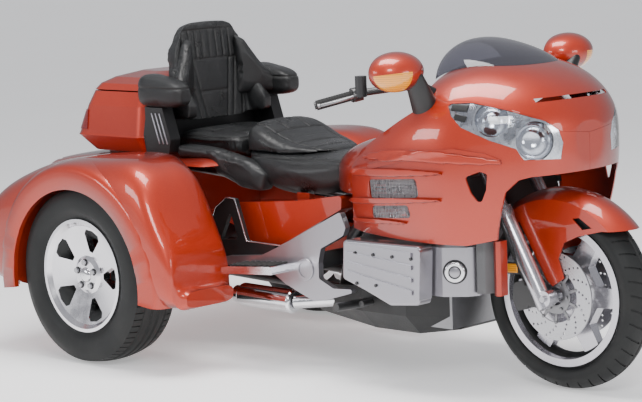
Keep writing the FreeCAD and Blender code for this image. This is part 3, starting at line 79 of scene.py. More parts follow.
FRONT_AXLE = centre_of("front_tyre")
REAR_AXLE = Vector((centre_of("rear_tyre_left").x, 0, centre_of("rear_tyre_left").z))
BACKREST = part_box("backrest")
RIDER_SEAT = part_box("rider_seat")
PASSENGER_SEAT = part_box("passenger_seat")
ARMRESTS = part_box("armrests")
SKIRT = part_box("seat_skirt")


# helpers for modelling

def deselect():
    if bpy.context.mode != "OBJECT":
        finish_edit()
    bpy.ops.object.select_all(action="DESELECT")


def activate(piece):
    deselect()
    piece.select_set(True)
    bpy.context.view_layer.objects.active = piece


def rename(piece, name):
    piece.name = name
    piece.data.name = name
    return piece


def named(name):
    """The primitive that was just added, under its own name."""
    return rename(bpy.context.object, name)


def finish_edit():
    bpy.ops.object.mode_set(mode="OBJECT")


def pick_faces(piece, test):
    """Leaves the piece in edit mode with the faces selected whose centre and normal pass the test."""
    activate(piece)
    bpy.ops.object.mode_set(mode="EDIT")
    bpy.ops.mesh.select_mode(type="FACE")
    bpy.ops.mesh.select_all(action="DESELECT")
    finish_edit()
    for face in piece.data.polygons:
        face.select = test(face.center, face.normal)
    bpy.ops.object.mode_set(mode="EDIT")


def pick_points(piece, test):
    """Leaves the piece in edit mode with the vertices selected whose place passes the test."""
    activate(piece)
    bpy.ops.object.mode_set(mode="EDIT")
    bpy.ops.mesh.select_mode(type="VERT")
    bpy.ops.mesh.select_all(action="DESELECT")
    finish_edit()
    for point in piece.data.vertices:
        point.select = test(point.co)
    bpy.ops.object.mode_set(mode="EDIT")


def everywhere(place):
    return True


def shift(piece, test, move):
    """Moves the vertices whose place passes the test."""
    pick_points(piece, test)
    bpy.ops.transform.translate(value=move)
    finish_edit()


def settle(piece):
    """Puts the piece's place into its mesh."""
    activate(piece)
    bpy.ops.object.transform_apply(location=True, rotation=True, scale=True)
    return piece


def modify(piece, kind, **values):
    """Adds a modifier with these values and applies it."""
    activate(piece)
    modifier = piece.modifiers.new(kind.lower(), kind)
    for name, value in values.items():
        setattr(modifier, name, value)
    bpy.ops.object.modifier_apply(modifier=modifier.name)


def rounded(piece, width, steps=3, angle=30):
    modify(piece, "BEVEL", width=width, segments=steps, limit_method="ANGLE",
           angle_limit=math.radians(angle))


def soften(piece, angle=35):
    activate(piece)
    bpy.ops.object.shade_smooth_by_angle(angle=math.radians(angle))


def tidy(piece):
    """Merges doubles and turns the faces outwards."""
    activate(piece)
    bpy.ops.object.mode_set(mode="EDIT")
    bpy.ops.mesh.select_all(action="SELECT")
    bpy.ops.mesh.remove_doubles(threshold=0.00005)
    bpy.ops.mesh.normals_make_consistent(inside=False)
    finish_edit()


def joined(pieces, name):
    """Several pieces of one finish as one mesh."""
    deselect()
    for piece in pieces:
        piece.select_set(True)
    bpy.context.view_layer.objects.active = pieces[0]
    if len(pieces) > 1:
        bpy.ops.object.join()
    return named(name)


def copied(piece, name):
    """A copy with its own mesh."""
    activate(piece)
    bpy.ops.object.duplicate(linked=False)
    return named(name)


def mirrored(piece, name):
    """The same piece on the left side."""
    twin = copied(piece, name)
    activate(twin)
    bpy.ops.object.mode_set(mode="EDIT")
    bpy.ops.mesh.select_all(action="SELECT")
    bpy.ops.transform.resize(value=(1, -1, 1), center_override=(0, 0, 0))
    bpy.ops.mesh.flip_normals()
    finish_edit()
    return twin


def merged_copy(node, name):
    """A closed copy of a CAD solid, for a piece that stands for it."""
    piece = copied(NODES[node], name)
    piece.parent = None
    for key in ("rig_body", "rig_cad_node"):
        if key in piece:
            del piece[key]
    piece.data.materials.clear()
    activate(piece)
    bpy.ops.object.mode_set(mode="EDIT")
    bpy.ops.mesh.select_all(action="SELECT")
    bpy.ops.mesh.remove_doubles(threshold=0.00005)
    finish_edit()
    return piece


def thickened(piece, push):
    """Fills a closed outline and pushes it to a slab, left in edit mode and selected all over."""
    tidy(piece)
    pick_points(piece, everywhere)
    bpy.ops.mesh.edge_face_add()
    bpy.ops.mesh.extrude_region_move(TRANSFORM_OT_translate={"value": push})
    bpy.ops.mesh.select_all(action="SELECT")
    bpy.ops.mesh.normals_make_consistent(inside=False)


def fit(piece, slot, body, *nodes):
    """Gives a piece a slot's finish, lets it ride on a body, and lets it stand for nodes."""
    piece.data.materials.clear()
    piece.data.materials.append(FINISH[slot])
    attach(piece, body)
    if nodes:
        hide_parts(*nodes)
    return piece


# shader groups

def new_group(name, inputs, outputs):
    """A node group whose inputs and outputs are numbers, with its own two end nodes."""
    tree = bpy.data.node_groups.new(name, "ShaderNodeTree")
    for label, value in inputs:
        socket = tree.interface.new_socket(label, in_out="INPUT", socket_type="NodeSocketFloat")
        socket.default_value = value
    for label in outputs:
        tree.interface.new_socket(label, in_out="OUTPUT", socket_type="NodeSocketFloat")
    return tree, tree.nodes.new("NodeGroupInput"), tree.nodes.new("NodeGroupOutput")


def put(tree, kind, values=None, **settings):
    """A node with its settings, and the values of its sockets."""
    node = tree.nodes.new("ShaderNode" + kind)
    for name, value in settings.items():
        setattr(node, name, value)
    for label, value in (values or {}).items():
        node.inputs[label].default_value = value
    return node


def calculate(tree, operation, first, second=0.0, limit=False):
    """A Math node on two numbers or sockets, and its result."""
    node = put(tree, "Math", operation=operation, use_clamp=limit)
    for place, value in enumerate((first, second)):
        if isinstance(value, (int, float)):
            node.inputs[place].default_value = value
        else:
            tree.links.new(value, node.inputs[place])
    return node.outputs[0]


def between(tree, value, low, high, out_low=0.0, out_high=1.0):
    """The value carried smoothly from one range to another."""
    node = put(tree, "MapRange", {"From Min": low, "From Max": high, "To Min": out_low,
                                  "To Max": out_high}, interpolation_type="SMOOTHSTEP")
    tree.links.new(value, node.inputs["Value"])
    return node.outputs["Result"]


def own_place(tree):
    return put(tree, "TexCoord").outputs["Object"]


def coordinates(tree):
    """The X, Y and Z of the place on the piece, each a socket."""
    apart = put(tree, "SeparateXYZ")
    tree.links.new(own_place(tree), apart.inputs[0])
    return apart.outputs


def noise_at(tree, place, **values):
    node = put(tree, "TexNoise", values)
    tree.links.new(place, node.inputs["Vector"])
    return node


def uneven_group():
    """Slow patches over a surface and a fine grain, so that no moulded or cast face is flat."""
    tree, start, end = new_group("uneven_surface", [("Patch scale", 6.0), ("Grain scale", 700.0)],
                                 ["Patches", "Grain"])
    place = own_place(tree)
    patch = noise_at(tree, place, Detail=4.0, Roughness=0.6)
    grain = noise_at(tree, place, Detail=2.0, Roughness=0.5)
    tree.links.new(start.outputs["Patch scale"], patch.inputs["Scale"])
    tree.links.new(start.outputs["Grain scale"], grain.inputs["Scale"])
    tree.links.new(between(tree, patch.outputs[0], 0.3, 0.7), end.inputs["Patches"])
    tree.links.new(grain.outputs[0], end.inputs["Grain"])
    return tree


def dust_group():
    """Road dust: thicker low down and in slow patches."""
    tree, start, end = new_group("road_dust", [("Clean above", 0.7)], ["Dust"])
    depth = calculate(tree, "SUBTRACT", start.outputs["Clean above"], coordinates(tree)["Z"])
    low_down = between(tree, depth, 0.0, 0.6)
    cloud = noise_at(tree, own_place(tree), Scale=9.0, Detail=6.0, Roughness=0.65)
    spread = between(tree, cloud.outputs[0], 0.38, 0.75)
    tree.links.new(calculate(tree, "MULTIPLY", low_down, spread), end.inputs["Dust"])
    return tree


def leather_group():
    """Leather grain: rounded cells with creases between them, and slow shine patches."""
    tree, start, end = new_group("leather_grain", [("Cell scale", 260.0)],
                                 ["Height", "Shine", "Seam"])
    place = own_place(tree)
    warp = noise_at(tree, place, Scale=60.0, Detail=3.0)
    bent = put(tree, "VectorMath", {"Scale": 0.006}, operation="SCALE")
    tree.links.new(warp.outputs["Color"], bent.inputs[0])
    moved = put(tree, "VectorMath", operation="ADD")
    tree.links.new(place, moved.inputs[0])
    tree.links.new(bent.outputs[0], moved.inputs[1])
    cells = put(tree, "TexVoronoi", feature="DISTANCE_TO_EDGE")
    tree.links.new(moved.outputs[0], cells.inputs["Vector"])
    tree.links.new(start.outputs["Cell scale"], cells.inputs["Scale"])
    raised = between(tree, cells.outputs["Distance"], 0.0, 0.22)
    fine = calculate(tree, "MULTIPLY", warp.outputs[0], 0.4)
    seam = put(tree, "Attribute", attribute_name="seam")
    sunk = calculate(tree, "MULTIPLY", seam.outputs["Fac"], 3.0)
    height = calculate(tree, "SUBTRACT", calculate(tree, "ADD", raised, fine), sunk)
    tree.links.new(height, end.inputs["Height"])
    slow = noise_at(tree, place, Scale=11.0, Detail=3.0)
    tree.links.new(between(tree, slow.outputs[0], 0.3, 0.7), end.inputs["Shine"])
    tree.links.new(seam.outputs["Fac"], end.inputs["Seam"])
    return tree


def turned_group():
    """Fine rings round a wheel's axle, as a lathe or a brake pad leaves them."""
    tree, start, end = new_group("turned_rings", [("Rings", 900.0), ("Axle X", 0.0), ("Axle Z", 0.0)],
                                 ["Rings", "Radius"])
    place = coordinates(tree)
    along = calculate(tree, "SUBTRACT", place["X"], start.outputs["Axle X"])
    above = calculate(tree, "SUBTRACT", place["Z"], start.outputs["Axle Z"])
    squares = calculate(tree, "ADD", calculate(tree, "MULTIPLY", along, along),
                        calculate(tree, "MULTIPLY", above, above))
    radius = calculate(tree, "SQRT", squares)
    line = put(tree, "TexNoise", {"Detail": 2.0}, noise_dimensions="1D")
    tree.links.new(radius, line.inputs["W"])
    tree.links.new(start.outputs["Rings"], line.inputs["Scale"])
    tree.links.new(line.outputs[0], end.inputs["Rings"])
    tree.links.new(radius, end.inputs["Radius"])
    return tree


UNEVEN = uneven_group()
DUST = dust_group()
LEATHER = leather_group()
TURNED = turned_group()


# finishes

def new_finish(name, roughness, metallic=0.0, **sockets):
    """A material with its shader's plain values set, its tree and the shader."""
    material = bpy.data.materials.new(name)
    material.use_nodes = True
    shader = material.node_tree.nodes["Principled BSDF"]
    shader.inputs["Roughness"].default_value = roughness
    shader.inputs["Metallic"].default_value = metallic
    for label, value in sockets.items():
        shader.inputs[label.replace("_", " ")].default_value = value
    return material, material.node_tree, shader


def use(tree, group, **values):
    node = tree.nodes.new("ShaderNodeGroup")
    node.node_tree = group
    for label, value in values.items():
        node.inputs[label.replace("_", " ")].default_value = value
    return node


def blend_colours(tree, share, first, second):
    """A colour between two, by a socket; each is a plain colour or a socket."""
    node = put(tree, "Mix", data_type="RGBA")
    tree.links.new(share, node.inputs["Factor"])
    for place, value in ((6, first), (7, second)):
        if isinstance(value, tuple):
            node.inputs[place].default_value = (*value, 1.0)
        else:
            tree.links.new(value, node.inputs[place])
    return node.outputs[2]


def shaded(tree, shader, share, colour, darkest):
    """The finish's colour, darker where the share is low."""
    tone = blend_colours(tree, share, tuple(c * darkest for c in colour), colour)
    tree.links.new(tone, shader.inputs["Base Color"])


def polish(tree, shader, share, smoothest, roughest, low=0.0, high=1.0):
    """Roughness that follows a share."""
    tree.links.new(between(tree, share, low, high, smoothest, roughest), shader.inputs["Roughness"])


def bump(tree, shader, height, depth, strength=1.0):
    node = put(tree, "Bump", {"Strength": strength, "Distance": depth})
    tree.links.new(height, node.inputs["Height"])
    tree.links.new(node.outputs[0], shader.inputs["Normal"])


DUST_COLOUR = (0.15, 0.14, 0.125)


def orange_paint():
    """Burnt orange metallic under a deep clear coat."""
    material, tree, shader = new_finish("burnt orange metallic", 0.38, 0.35, Coat_Weight=0.85,
                                        Coat_Roughness=0.03, Coat_IOR=1.5)
    layer = put(tree, "LayerWeight", {"Blend": 0.45})
    face = (0.44, 0.024, 0.0035)
    edge = (0.15, 0.006, 0.0025)
    colour = blend_colours(tree, between(tree, layer.outputs["Facing"], 0.15, 0.85), face, edge)
    flake = put(tree, "TexVoronoi", {"Scale": 1400.0})
    tree.links.new(own_place(tree), flake.inputs["Vector"])
    sparkle = between(tree, flake.outputs["Color"], 0.72, 1.0, 0.0, 0.35)
    colour = blend_colours(tree, sparkle, colour, (0.85, 0.16, 0.03))
    dust = use(tree, DUST, Clean_above=0.55)
    colour = blend_colours(tree, calculate(tree, "MULTIPLY", dust.outputs["Dust"], 0.22), colour,
                           DUST_COLOUR)
    tree.links.new(colour, shader.inputs["Base Color"])
    uneven = use(tree, UNEVEN, Patch_scale=3.0, Grain_scale=420.0)
    polish(tree, shader, uneven.outputs["Patches"], 0.32, 0.44)
    bump(tree, shader, uneven.outputs["Grain"], 0.00004)
    return material


def black_leather():
    material, tree, shader = new_finish("black leather", 0.4, Coat_Weight=0.12, Coat_Roughness=0.22,
                                        Specular_IOR_Level=0.45)
    grain = use(tree, LEATHER, Cell_scale=320.0)
    colour = blend_colours(tree, grain.outputs["Shine"], (0.0045, 0.005, 0.0055), (0.009, 0.010, 0.011))
    colour = blend_colours(tree, grain.outputs["Seam"], colour, (0.004, 0.004, 0.004))
    tree.links.new(colour, shader.inputs["Base Color"])
    polish(tree, shader, grain.outputs["Shine"], 0.27, 0.40)
    bump(tree, shader, grain.outputs["Height"], 0.0005)
    return material


def moulded(name, colour, rough, grain=0.0003, scale=650.0, metallic=0.0, dust=0.12, clean=0.6,
            **sockets):
    """Moulded plastic, rubber, cast metal or satin paint: a grain, slow patches and some dust."""
    patch = sockets.pop("patch", 0.80)
    material, tree, shader = new_finish(name, rough, metallic, **sockets)
    uneven = use(tree, UNEVEN, Patch_scale=7.0, Grain_scale=scale)
    darker = tuple(c * patch for c in colour)
    tone = blend_colours(tree, uneven.outputs["Patches"], darker, colour)
    layer = use(tree, DUST, Clean_above=clean)
    tone = blend_colours(tree, calculate(tree, "MULTIPLY", layer.outputs["Dust"], dust), tone,
                         DUST_COLOUR)
    tree.links.new(tone, shader.inputs["Base Color"])
    polish(tree, shader, uneven.outputs["Patches"], rough * 0.92, min(rough * 1.1, 1.0))
    bump(tree, shader, uneven.outputs["Grain"], grain)
    return material


def turned_metal(name, colour, rough, axle, depth):
    """A machined face round a wheel's axle."""
    material, tree, shader = new_finish(name, rough, 1.0)
    rings = use(tree, TURNED, Rings=900.0, Axle_X=axle.x, Axle_Z=axle.z)
    shaded(tree, shader, rings.outputs["Rings"], colour, 0.82)
    polish(tree, shader, rings.outputs["Rings"], rough * 0.8, rough * 1.25, 0.2, 0.8)
    bump(tree, shader, rings.outputs["Rings"], depth)
    return material


def lens(name, colour, rough=0.08):
    """A moulded lens, with flutes behind a smooth face."""
    material, tree, shader = new_finish(name, rough, Coat_Weight=1.0, Coat_Roughness=0.02)
    flutes = calculate(tree, "SINE", calculate(tree, "MULTIPLY", coordinates(tree)["Z"], 900.0))
    shaded(tree, shader, between(tree, flutes, -1.0, 1.0), colour, 0.72)
    bump(tree, shader, flutes, 0.0001)
    return material


def clear_glass(name, colour, transmission, rough=0.02):
    material, tree, shader = new_finish(name, rough, 0.0, Transmission_Weight=transmission, IOR=1.45)
    uneven = use(tree, UNEVEN, Patch_scale=4.0, Grain_scale=90.0)
    shaded(tree, shader, uneven.outputs["Patches"], colour, 0.94)
    bump(tree, shader, uneven.outputs["Patches"], 0.0002, 0.3)
    return material


def plain_metal(name, colour, rough, scale=30.0):
    """Polished or plated metal, with faint smears."""
    material, tree, shader = new_finish(name, rough, 1.0)
    uneven = use(tree, UNEVEN, Patch_scale=scale, Grain_scale=900.0)
    shaded(tree, shader, uneven.outputs["Patches"], colour, 0.88)
    polish(tree, shader, uneven.outputs["Patches"], rough * 0.7, rough * 1.5)
    bump(tree, shader, uneven.outputs["Grain"], 0.00003)
    return material


FINISH = {
    "orange_paint": orange_paint(),
    "black_leather": black_leather(),
    "black_plastic": moulded("black moulded plastic", (0.010, 0.0105, 0.011), 0.42),
    "grey_plastic": moulded("grey moulded plastic", (0.12, 0.12, 0.125), 0.55, dust=0.2),
    "black_metal": moulded("satin black paint", (0.018, 0.018, 0.019), 0.38, 0.00015, 400.0,
                           dust=0.1, Coat_Weight=0.3),
    "cast_alloy": moulded("sand cast alloy", (0.30, 0.30, 0.31), 0.38, 0.0003, 500.0, 1.0, 0.15, 0.5),
    "silver_cover": moulded("silver cover paint", (0.36, 0.35, 0.38), 0.30, 0.00006, 900.0, 0.85,
                            0.05, 0.45, Coat_Weight=0.6, patch=0.95),
    "wheel_silver": moulded("silver wheel paint", (0.58, 0.57, 0.61), 0.25, 0.00005, 900.0, 0.85,
                            0.08, 0.5, Coat_Weight=0.6, patch=0.94),
    "polished_wheel": plain_metal("polished wheel alloy", (0.86, 0.85, 0.88), 0.16, 14.0),
    "chrome": plain_metal("chrome plate", (0.86, 0.86, 0.88), 0.07),
    "steel": turned_metal("ground brake steel", (0.52, 0.52, 0.54), 0.3, FRONT_AXLE, 0.00005),
    "grip_rubber": moulded("grip rubber", (0.014, 0.014, 0.014), 0.75, 0.0006, 900.0, dust=0.3),
    "tyre": moulded("tyre rubber", (0.0085, 0.0095, 0.0095), 0.55, 0.0004, 420.0, dust=0.06,
                    clean=0.7, Specular_IOR_Level=0.35),
    "red_lens": lens("dark red lens", (0.20, 0.006, 0.006)),
    "amber_lens": lens("amber lens", (0.95, 0.36, 0.015)),
    "clear_lens": clear_glass("lamp lens", (0.93, 0.95, 0.98), 1.0),
    "lamp_bowl": plain_metal("lamp reflector", (0.84, 0.85, 0.88), 0.12),
    "mirror": plain_metal("mirror glass", (0.82, 0.84, 0.86), 0.02),
    "smoked_screen": clear_glass("smoked screen", (0.12, 0.12, 0.15), 0.75),
}
WIRE = plain_metal("vent wire", (0.62, 0.60, 0.62), 0.3, 40.0)
LOOKS_LIKE = {"fork_legs": "wheel_silver", "passenger_floorboards": "polished_wheel"}
for label, piece in NODES.items():
    for place in piece.material_slots:
        place.material = FINISH[LOOKS_LIKE.get(label, SLOT_OF[label])]


# tyres

def drawn_outline(points, name):
    """An open line through (across, out) points in the plane over the axle, extruded point by point."""
    deselect()
    bpy.ops.mesh.primitive_plane_add(size=0.002, location=(0, 0, 0))
    piece = named(name)
    bpy.ops.object.mode_set(mode="EDIT")
    bpy.ops.mesh.select_mode(type="VERT")
    bpy.ops.mesh.select_all(action="SELECT")
    bpy.ops.mesh.merge(type="CENTER")
    across, out = points[0]
    bpy.ops.transform.translate(value=(0, across, out))
    for (y0, z0), (y1, z1) in zip(points, points[1:]):
        bpy.ops.mesh.extrude_region_move(TRANSFORM_OT_translate={"value": (0, y1 - y0, z1 - z0)})
    finish_edit()
    return piece


def arc(start, middle, end, steps):
    """Points on the circle through three (across, out) points, without the first."""
    (ax, ay), (bx, by), (cx, cy) = start, middle, end
    d = 2 * (ax * (by - cy) + bx * (cy - ay) + cx * (ay - by))
    ux = ((ax**2 + ay**2) * (by - cy) + (bx**2 + by**2) * (cy - ay) + (cx**2 + cy**2) * (ay - by)) / d
    uy = ((ax**2 + ay**2) * (cx - bx) + (bx**2 + by**2) * (ax - cx) + (cx**2 + cy**2) * (bx - ax)) / d
    radius = math.hypot(ax - ux, ay - uy)
    first = math.atan2(ay - uy, ax - ux)
    turn = math.remainder(math.atan2(cy - uy, cx - ux) - first, math.tau)
    return [(ux + radius * math.cos(first + turn * k / steps),
             uy + radius * math.sin(first + turn * k / steps)) for k in range(1, steps + 1)]


BEAD_INSET = 0.0063
BEAD_DEPTH = 0.0167
TYRE_WALL = 0.011
RIB_RISE = 0.0008
GROOVE_DEPTH = 0.006
CUT_DEPTH = 0.004
LAND_SHARE = 0.87


def tyre_section(radius, half, rim_radius, rim_half, drop, inset, grooves):
    """A tyre's closed section: beads, ribbed sidewalls, and a tread with sunken grooves round it."""
    bead = rim_half - BEAD_INSET
    foot = rim_radius - BEAD_DEPTH
    crown = radius - drop
    rise = radius - rim_radius
    side = [(bead, foot), (bead, rim_radius + 0.004)]
    flank = arc(side[-1], (half, rim_radius + 0.42 * rise), (half - inset, crown), 12)
    for number in (2, 3, 7, 8):
        y, z = flank[number]
        flank[number] = (y + RIB_RISE, z)
    side += flank
    tread_side = half - inset
    steps = 26
    crown_line = arc((tread_side, crown), (0, radius), (-tread_side, crown), steps)[:-1]
    tread = []
    for y, z in crown_line:
        sunk = any(abs(abs(y) - place) < width / 2 for place, width in grooves)
        tread.append((y, z - GROOVE_DEPTH if sunk else z))
    other = [(-y, z) for y, z in reversed(side)]
    inner = bead - TYRE_WALL
    lining = arc((-inner, foot), (0, crown - 0.4 * rise), (inner, foot), 8)
    return side + tread + other + [(-inner, foot)] + lining


def build_tyre(name, node, body, radius, half, rim_radius, rim_half, drop, inset, grooves,
               pitches, cut_from, skew):
    """A tyre: one pitch of the tread is spun and cut, then repeated round the wheel."""
    section = tyre_section(radius, half, rim_radius, rim_half, drop, inset, grooves)
    piece = drawn_outline(section + section[:1], name)
    pitch = math.tau / pitches
    land = pitch * LAND_SHARE
    for turn, steps in ((land, 3), (pitch - land, 1)):
        far = max(math.atan2(v.co.x, v.co.z) for v in piece.data.vertices)
        pick_points(piece, lambda co: abs(math.atan2(co.x, co.z) - far) < 1e-5)
        bpy.ops.mesh.spin(steps=steps, angle=-turn, center=(0, 0, 0), axis=(0, 1, 0))
        finish_edit()
    crown = radius - drop

    def is_cut(centre, normal):
        out = math.hypot(centre.x, centre.z)
        return (math.atan2(centre.x, centre.z) > land and out > crown - 0.002
                and abs(centre.y) > cut_from)

    pick_faces(piece, is_cut)
    bpy.ops.mesh.extrude_region_move()
    sunk = 1 - CUT_DEPTH / radius
    bpy.ops.transform.resize(value=(sunk, 1, sunk), center_override=(0, 0, 0))
    finish_edit()
    bpy.ops.object.empty_add(rotation=(0, pitch, 0))
    step = bpy.context.object
    modify(piece, "ARRAY", count=pitches, use_relative_offset=False, use_object_offset=True,
           offset_object=step, use_merge_vertices=True, use_merge_vertices_cap=True,
           merge_threshold=0.0001)
    bpy.data.objects.remove(step)
    rows = 8
    for row in range(1, rows + 1):
        lowest, highest = half * (row - 0.5) / rows, half * (row + 0.5) / rows
        pick_points(piece, lambda co: lowest <= abs(co.y) < highest)
        bpy.ops.transform.rotate(value=skew * row / rows, orient_axis="Y",
                                 center_override=(0, 0, 0))
        finish_edit()
    piece.location = centre_of(node)
    settle(piece)
    tidy(piece)
    soften(piece, 40)
    return fit(piece, "tyre", body, node)


def build_tyres():
    build_tyre("front_tyre_tread", "front_tyre", "front_wheel", 0.320, 0.065, 0.240, 0.050, 0.024, 0.012,
               [(0.0, 0.006)], 40, 0.008, 0.09)
    for side, word in ((1, "left"), (-1, "right")):
        build_tyre("rear_tyre_tread_" + word, "rear_tyre_" + word, "rear_wheel_" + word, 0.324, 0.1025,
                   0.207, 0.088, 0.012, 0.012, [(0.016, 0.01), (0.048, 0.01)], 72, 0.055,
                   0.02 * side)


# cushions

CLOTH_FRAMES = 20
SEWN_FROM = 0.4
SEAM_DEPTH = 0.0035


def stuff(piece, body, cap, voxel, smaller, is_seam, nodes=(), pressure=4.0):
    """Blows a cushion up as cloth between its sewn seams, from a shape a little smaller."""
    modify(piece, "REMESH", mode="VOXEL", voxel_size=voxel, use_smooth_shade=True)
    pick_points(piece, everywhere)
    bpy.ops.transform.shrink_fatten(value=-smaller)
    bpy.ops.mesh.vertices_smooth(factor=0.5, repeat=3)
    finish_edit()
    normals = [v.normal.copy() for v in piece.data.vertices]
    seam = [is_seam(v.co, n) for v, n in zip(piece.data.vertices, normals)]
    start = [v.co.copy() for v in piece.data.vertices]
    sewn = piece.vertex_groups.new(name="sewn")
    for v, closeness in zip(piece.data.vertices, seam):
        if closeness > SEWN_FROM:
            sewn.add([v.index], 1.0, "REPLACE")
    activate(piece)
    cloth = piece.modifiers.new("cloth", "CLOTH")
    cloth.settings.use_pressure = True
    cloth.settings.uniform_pressure_force = pressure
    cloth.settings.effector_weights.gravity = 0
    cloth.settings.vertex_group_mass = "sewn"
    cloth.settings.quality = 5
    for number in range(1, CLOTH_FRAMES + 1):
        bpy.context.scene.frame_set(number)
    bpy.ops.object.modifier_apply(modifier="cloth")
    bpy.context.scene.frame_set(1)
    for v, origin in zip(piece.data.vertices, start):
        moved = v.co - origin
        if moved.length > cap:
            v.co = origin + moved * (cap / moved.length)
    piece.vertex_groups.clear()
    mark = piece.data.attributes.new("seam", "FLOAT", "POINT")
    mark.data.foreach_set("value", seam)
    for v, n, closeness in zip(piece.data.vertices, normals, seam):
        v.co -= n * (SEAM_DEPTH * closeness)
    modify(piece, "SUBSURF", levels=1, render_levels=1)
    soften(piece, 60)
    fit(piece, "black_leather", body, *nodes)
    return piece


def stuffed(node, body, cap, voxel, smaller, is_seam):
    """A cushion that stands for the CAD solid it starts from."""
    return stuff(merged_copy(node, node + "_cover"), body, cap, voxel, smaller, is_seam, (node,))


def near(distance, width=0.006):
    """How close a point is to a seam: 1 on it, 0 further than its width."""
    return max(0.0, 1.0 - abs(distance) / width)


HEAD_FROM = 0.62
HEAD_TO = 0.91
HEAD_PLEAT = 0.034
SEAT_PANEL = 0.118
SEAT_BAR = 0.075


def backrest_seams(co, normal):
    """Seams of the backrest: a border, a head panel with pleats, and slanted pleats lower down."""
    if normal.x < 0.35:
        return 0.0
    low, high = BACKREST
    up = (co.z - low.z) / (high.z - low.z)
    across = abs(co.y)
    border = 0.128 + 0.02 * math.sin(math.pi * min(max(up, 0), 1))
    closest = near(across - border)
    if across < border:
        closest = max(closest, near(co.z - (low.z + HEAD_FROM * (high.z - low.z))))
        closest = max(closest, near(co.z - (low.z + HEAD_TO * (high.z - low.z))))
        if HEAD_FROM < up < HEAD_TO:
            closest = max(closest, near(math.remainder(co.y, HEAD_PLEAT), 0.005))
        if up < HEAD_FROM:
            slant = across - (0.05 + 0.07 * up)
            closest = max(closest, near(slant))
            closest = max(closest, near(slant - 0.03) if across < border - 0.01 else 0.0)
            if slant < 0:
                closest = max(closest, near(co.z - (low.z + 0.30 * (high.z - low.z))))
    return closest


def rider_seams(co, normal):
    low, high = RIDER_SEAT
    across = abs(co.y)
    along = (co.x - low.x) / (high.x - low.x)
    border = 0.128 - 0.05 * max(along - 0.3, 0)
    if normal.z < 0.0 and normal.x < 0.3:
        return 0.0
    closest = near(across - border)
    if across < border:
        for share in (0.12, 0.34, 0.62, 0.82):
            closest = max(closest, near(co.x - (low.x + share * (high.x - low.x))))
        if along < 0.34:
            closest = max(closest, near(across - 0.052))
    return closest


def passenger_seams(co, normal):
    low, high = PASSENGER_SEAT
    across = abs(co.y)
    rim = near(co.z - (high.z - 0.028), 0.006) if abs(normal.z) < 0.8 else 0.0
    top = near(across - SEAT_PANEL) if normal.z > 0.5 else 0.0
    bar = 0.0
    if normal.z > 0.5 and across < SEAT_PANEL:
        bar = near(math.remainder(co.x - low.x, SEAT_BAR))
    return max(rim, top, bar)


def armrest_seams(co, normal):
    low, high = ARMRESTS
    return near(co.z - (low.z + 0.58 * (high.z - low.z)), 0.005)


def skirt_seams(co, normal):
    low, high = SKIRT
    return near(co.z - (high.z - 0.042), 0.005) if abs(normal.y) > 0.3 else 0.0


def no_seams(co, normal):
    return 0.0


WING_THICKNESS = 0.04


def build_wing(side, word):
    """The padded wing that closes the corner between the backrest and an armrest."""
    low, high = BACKREST
    inner, outer = 0.60 * high.y, 0.285
    foot = ARMRESTS[0].z + 0.012
    outline = [(inner, foot), (outer, foot + 0.01), (outer + 0.004, foot + 0.062),
               (outer - 0.05, foot + 0.125), (0.80 * high.y, foot + 0.215),
               (inner, high.z - 0.055), (inner, foot)]
    piece = drawn_outline([(side * y, z) for y, z in outline], "backrest_wing_" + word)
    thickened(piece, (WING_THICKNESS, 0, 0))
    bpy.ops.transform.rotate(value=side * math.radians(30), orient_axis="Z",
                             center_override=(0, side * inner, 0))
    bpy.ops.transform.translate(value=(low.x + 0.062, 0, 0))
    finish_edit()
    rounded(piece, 0.014, 3, 40)
    stuff(piece, "chassis", 0.009, 0.005, 0.002, no_seams)


SKIRT_SIDE = [(-0.622, 0.7185), (-0.452, 0.7185), (-0.438, 0.668), (-0.330, 0.618), (-0.235, 0.606),
              (-0.215, 0.672), (-0.300, 0.722), (-0.440, 0.756), (-0.622, 0.768)]
SKIRT_THICKNESS = 0.072
SKIRT_OUT = 0.212


def build_skirt_sides():
    """The skirt on both sides of the passenger's seat, hanging over the deck's front edge."""
    for side, word in SIDES:
        piece = drawn_outline(SKIRT_SIDE + SKIRT_SIDE[:1], "seat_skirt_side_" + word)
        piece.rotation_euler = (0, 0, -math.pi / 2)
        settle(piece)
        thickened(piece, (0, SKIRT_THICKNESS * side, 0))
        bpy.ops.transform.translate(value=(0, SKIRT_OUT * side, 0))
        finish_edit()
        for ahead_of, inward in ((-0.46, 0.012), (-0.35, 0.020), (-0.26, 0.022)):
            shift(piece, lambda co: co.x > ahead_of, (0, -inward * side, 0))
        rounded(piece, 0.014, 3, 40)
        stuff(piece, "chassis", 0.005, 0.006, 0.002, no_seams)


def build_cushions():
    build_skirt_sides()
    stuffed("backrest", "chassis", 0.012, 0.0055, 0.006, backrest_seams)
    stuffed("rider_seat", "chassis", 0.011, 0.0055, 0.005, rider_seams)
    stuffed("passenger_seat", "chassis", 0.010, 0.006, 0.005, passenger_seams)
    stuffed("armrests", "chassis", 0.007, 0.005, 0.004, armrest_seams)
    stuffed("seat_skirt", "chassis", 0.006, 0.006, 0.004, skirt_seams)
    for side, word in SIDES:
        build_wing(side, word)


# turned and cut small pieces

def turned(name, section, centre, steps=48):
    """A ring or cap turned about a line along Y from a closed (across, out) section."""
    closed = section if section[0][1] == 0 else section + section[:1]
    piece = drawn_outline(closed, name)
    pick_points(piece, everywhere)
    bpy.ops.mesh.spin(steps=steps, angle=math.tau, center=(0, 0, 0), axis=(0, 1, 0))
    finish_edit()
    tidy(piece)
    piece.location = centre
    return settle(piece)


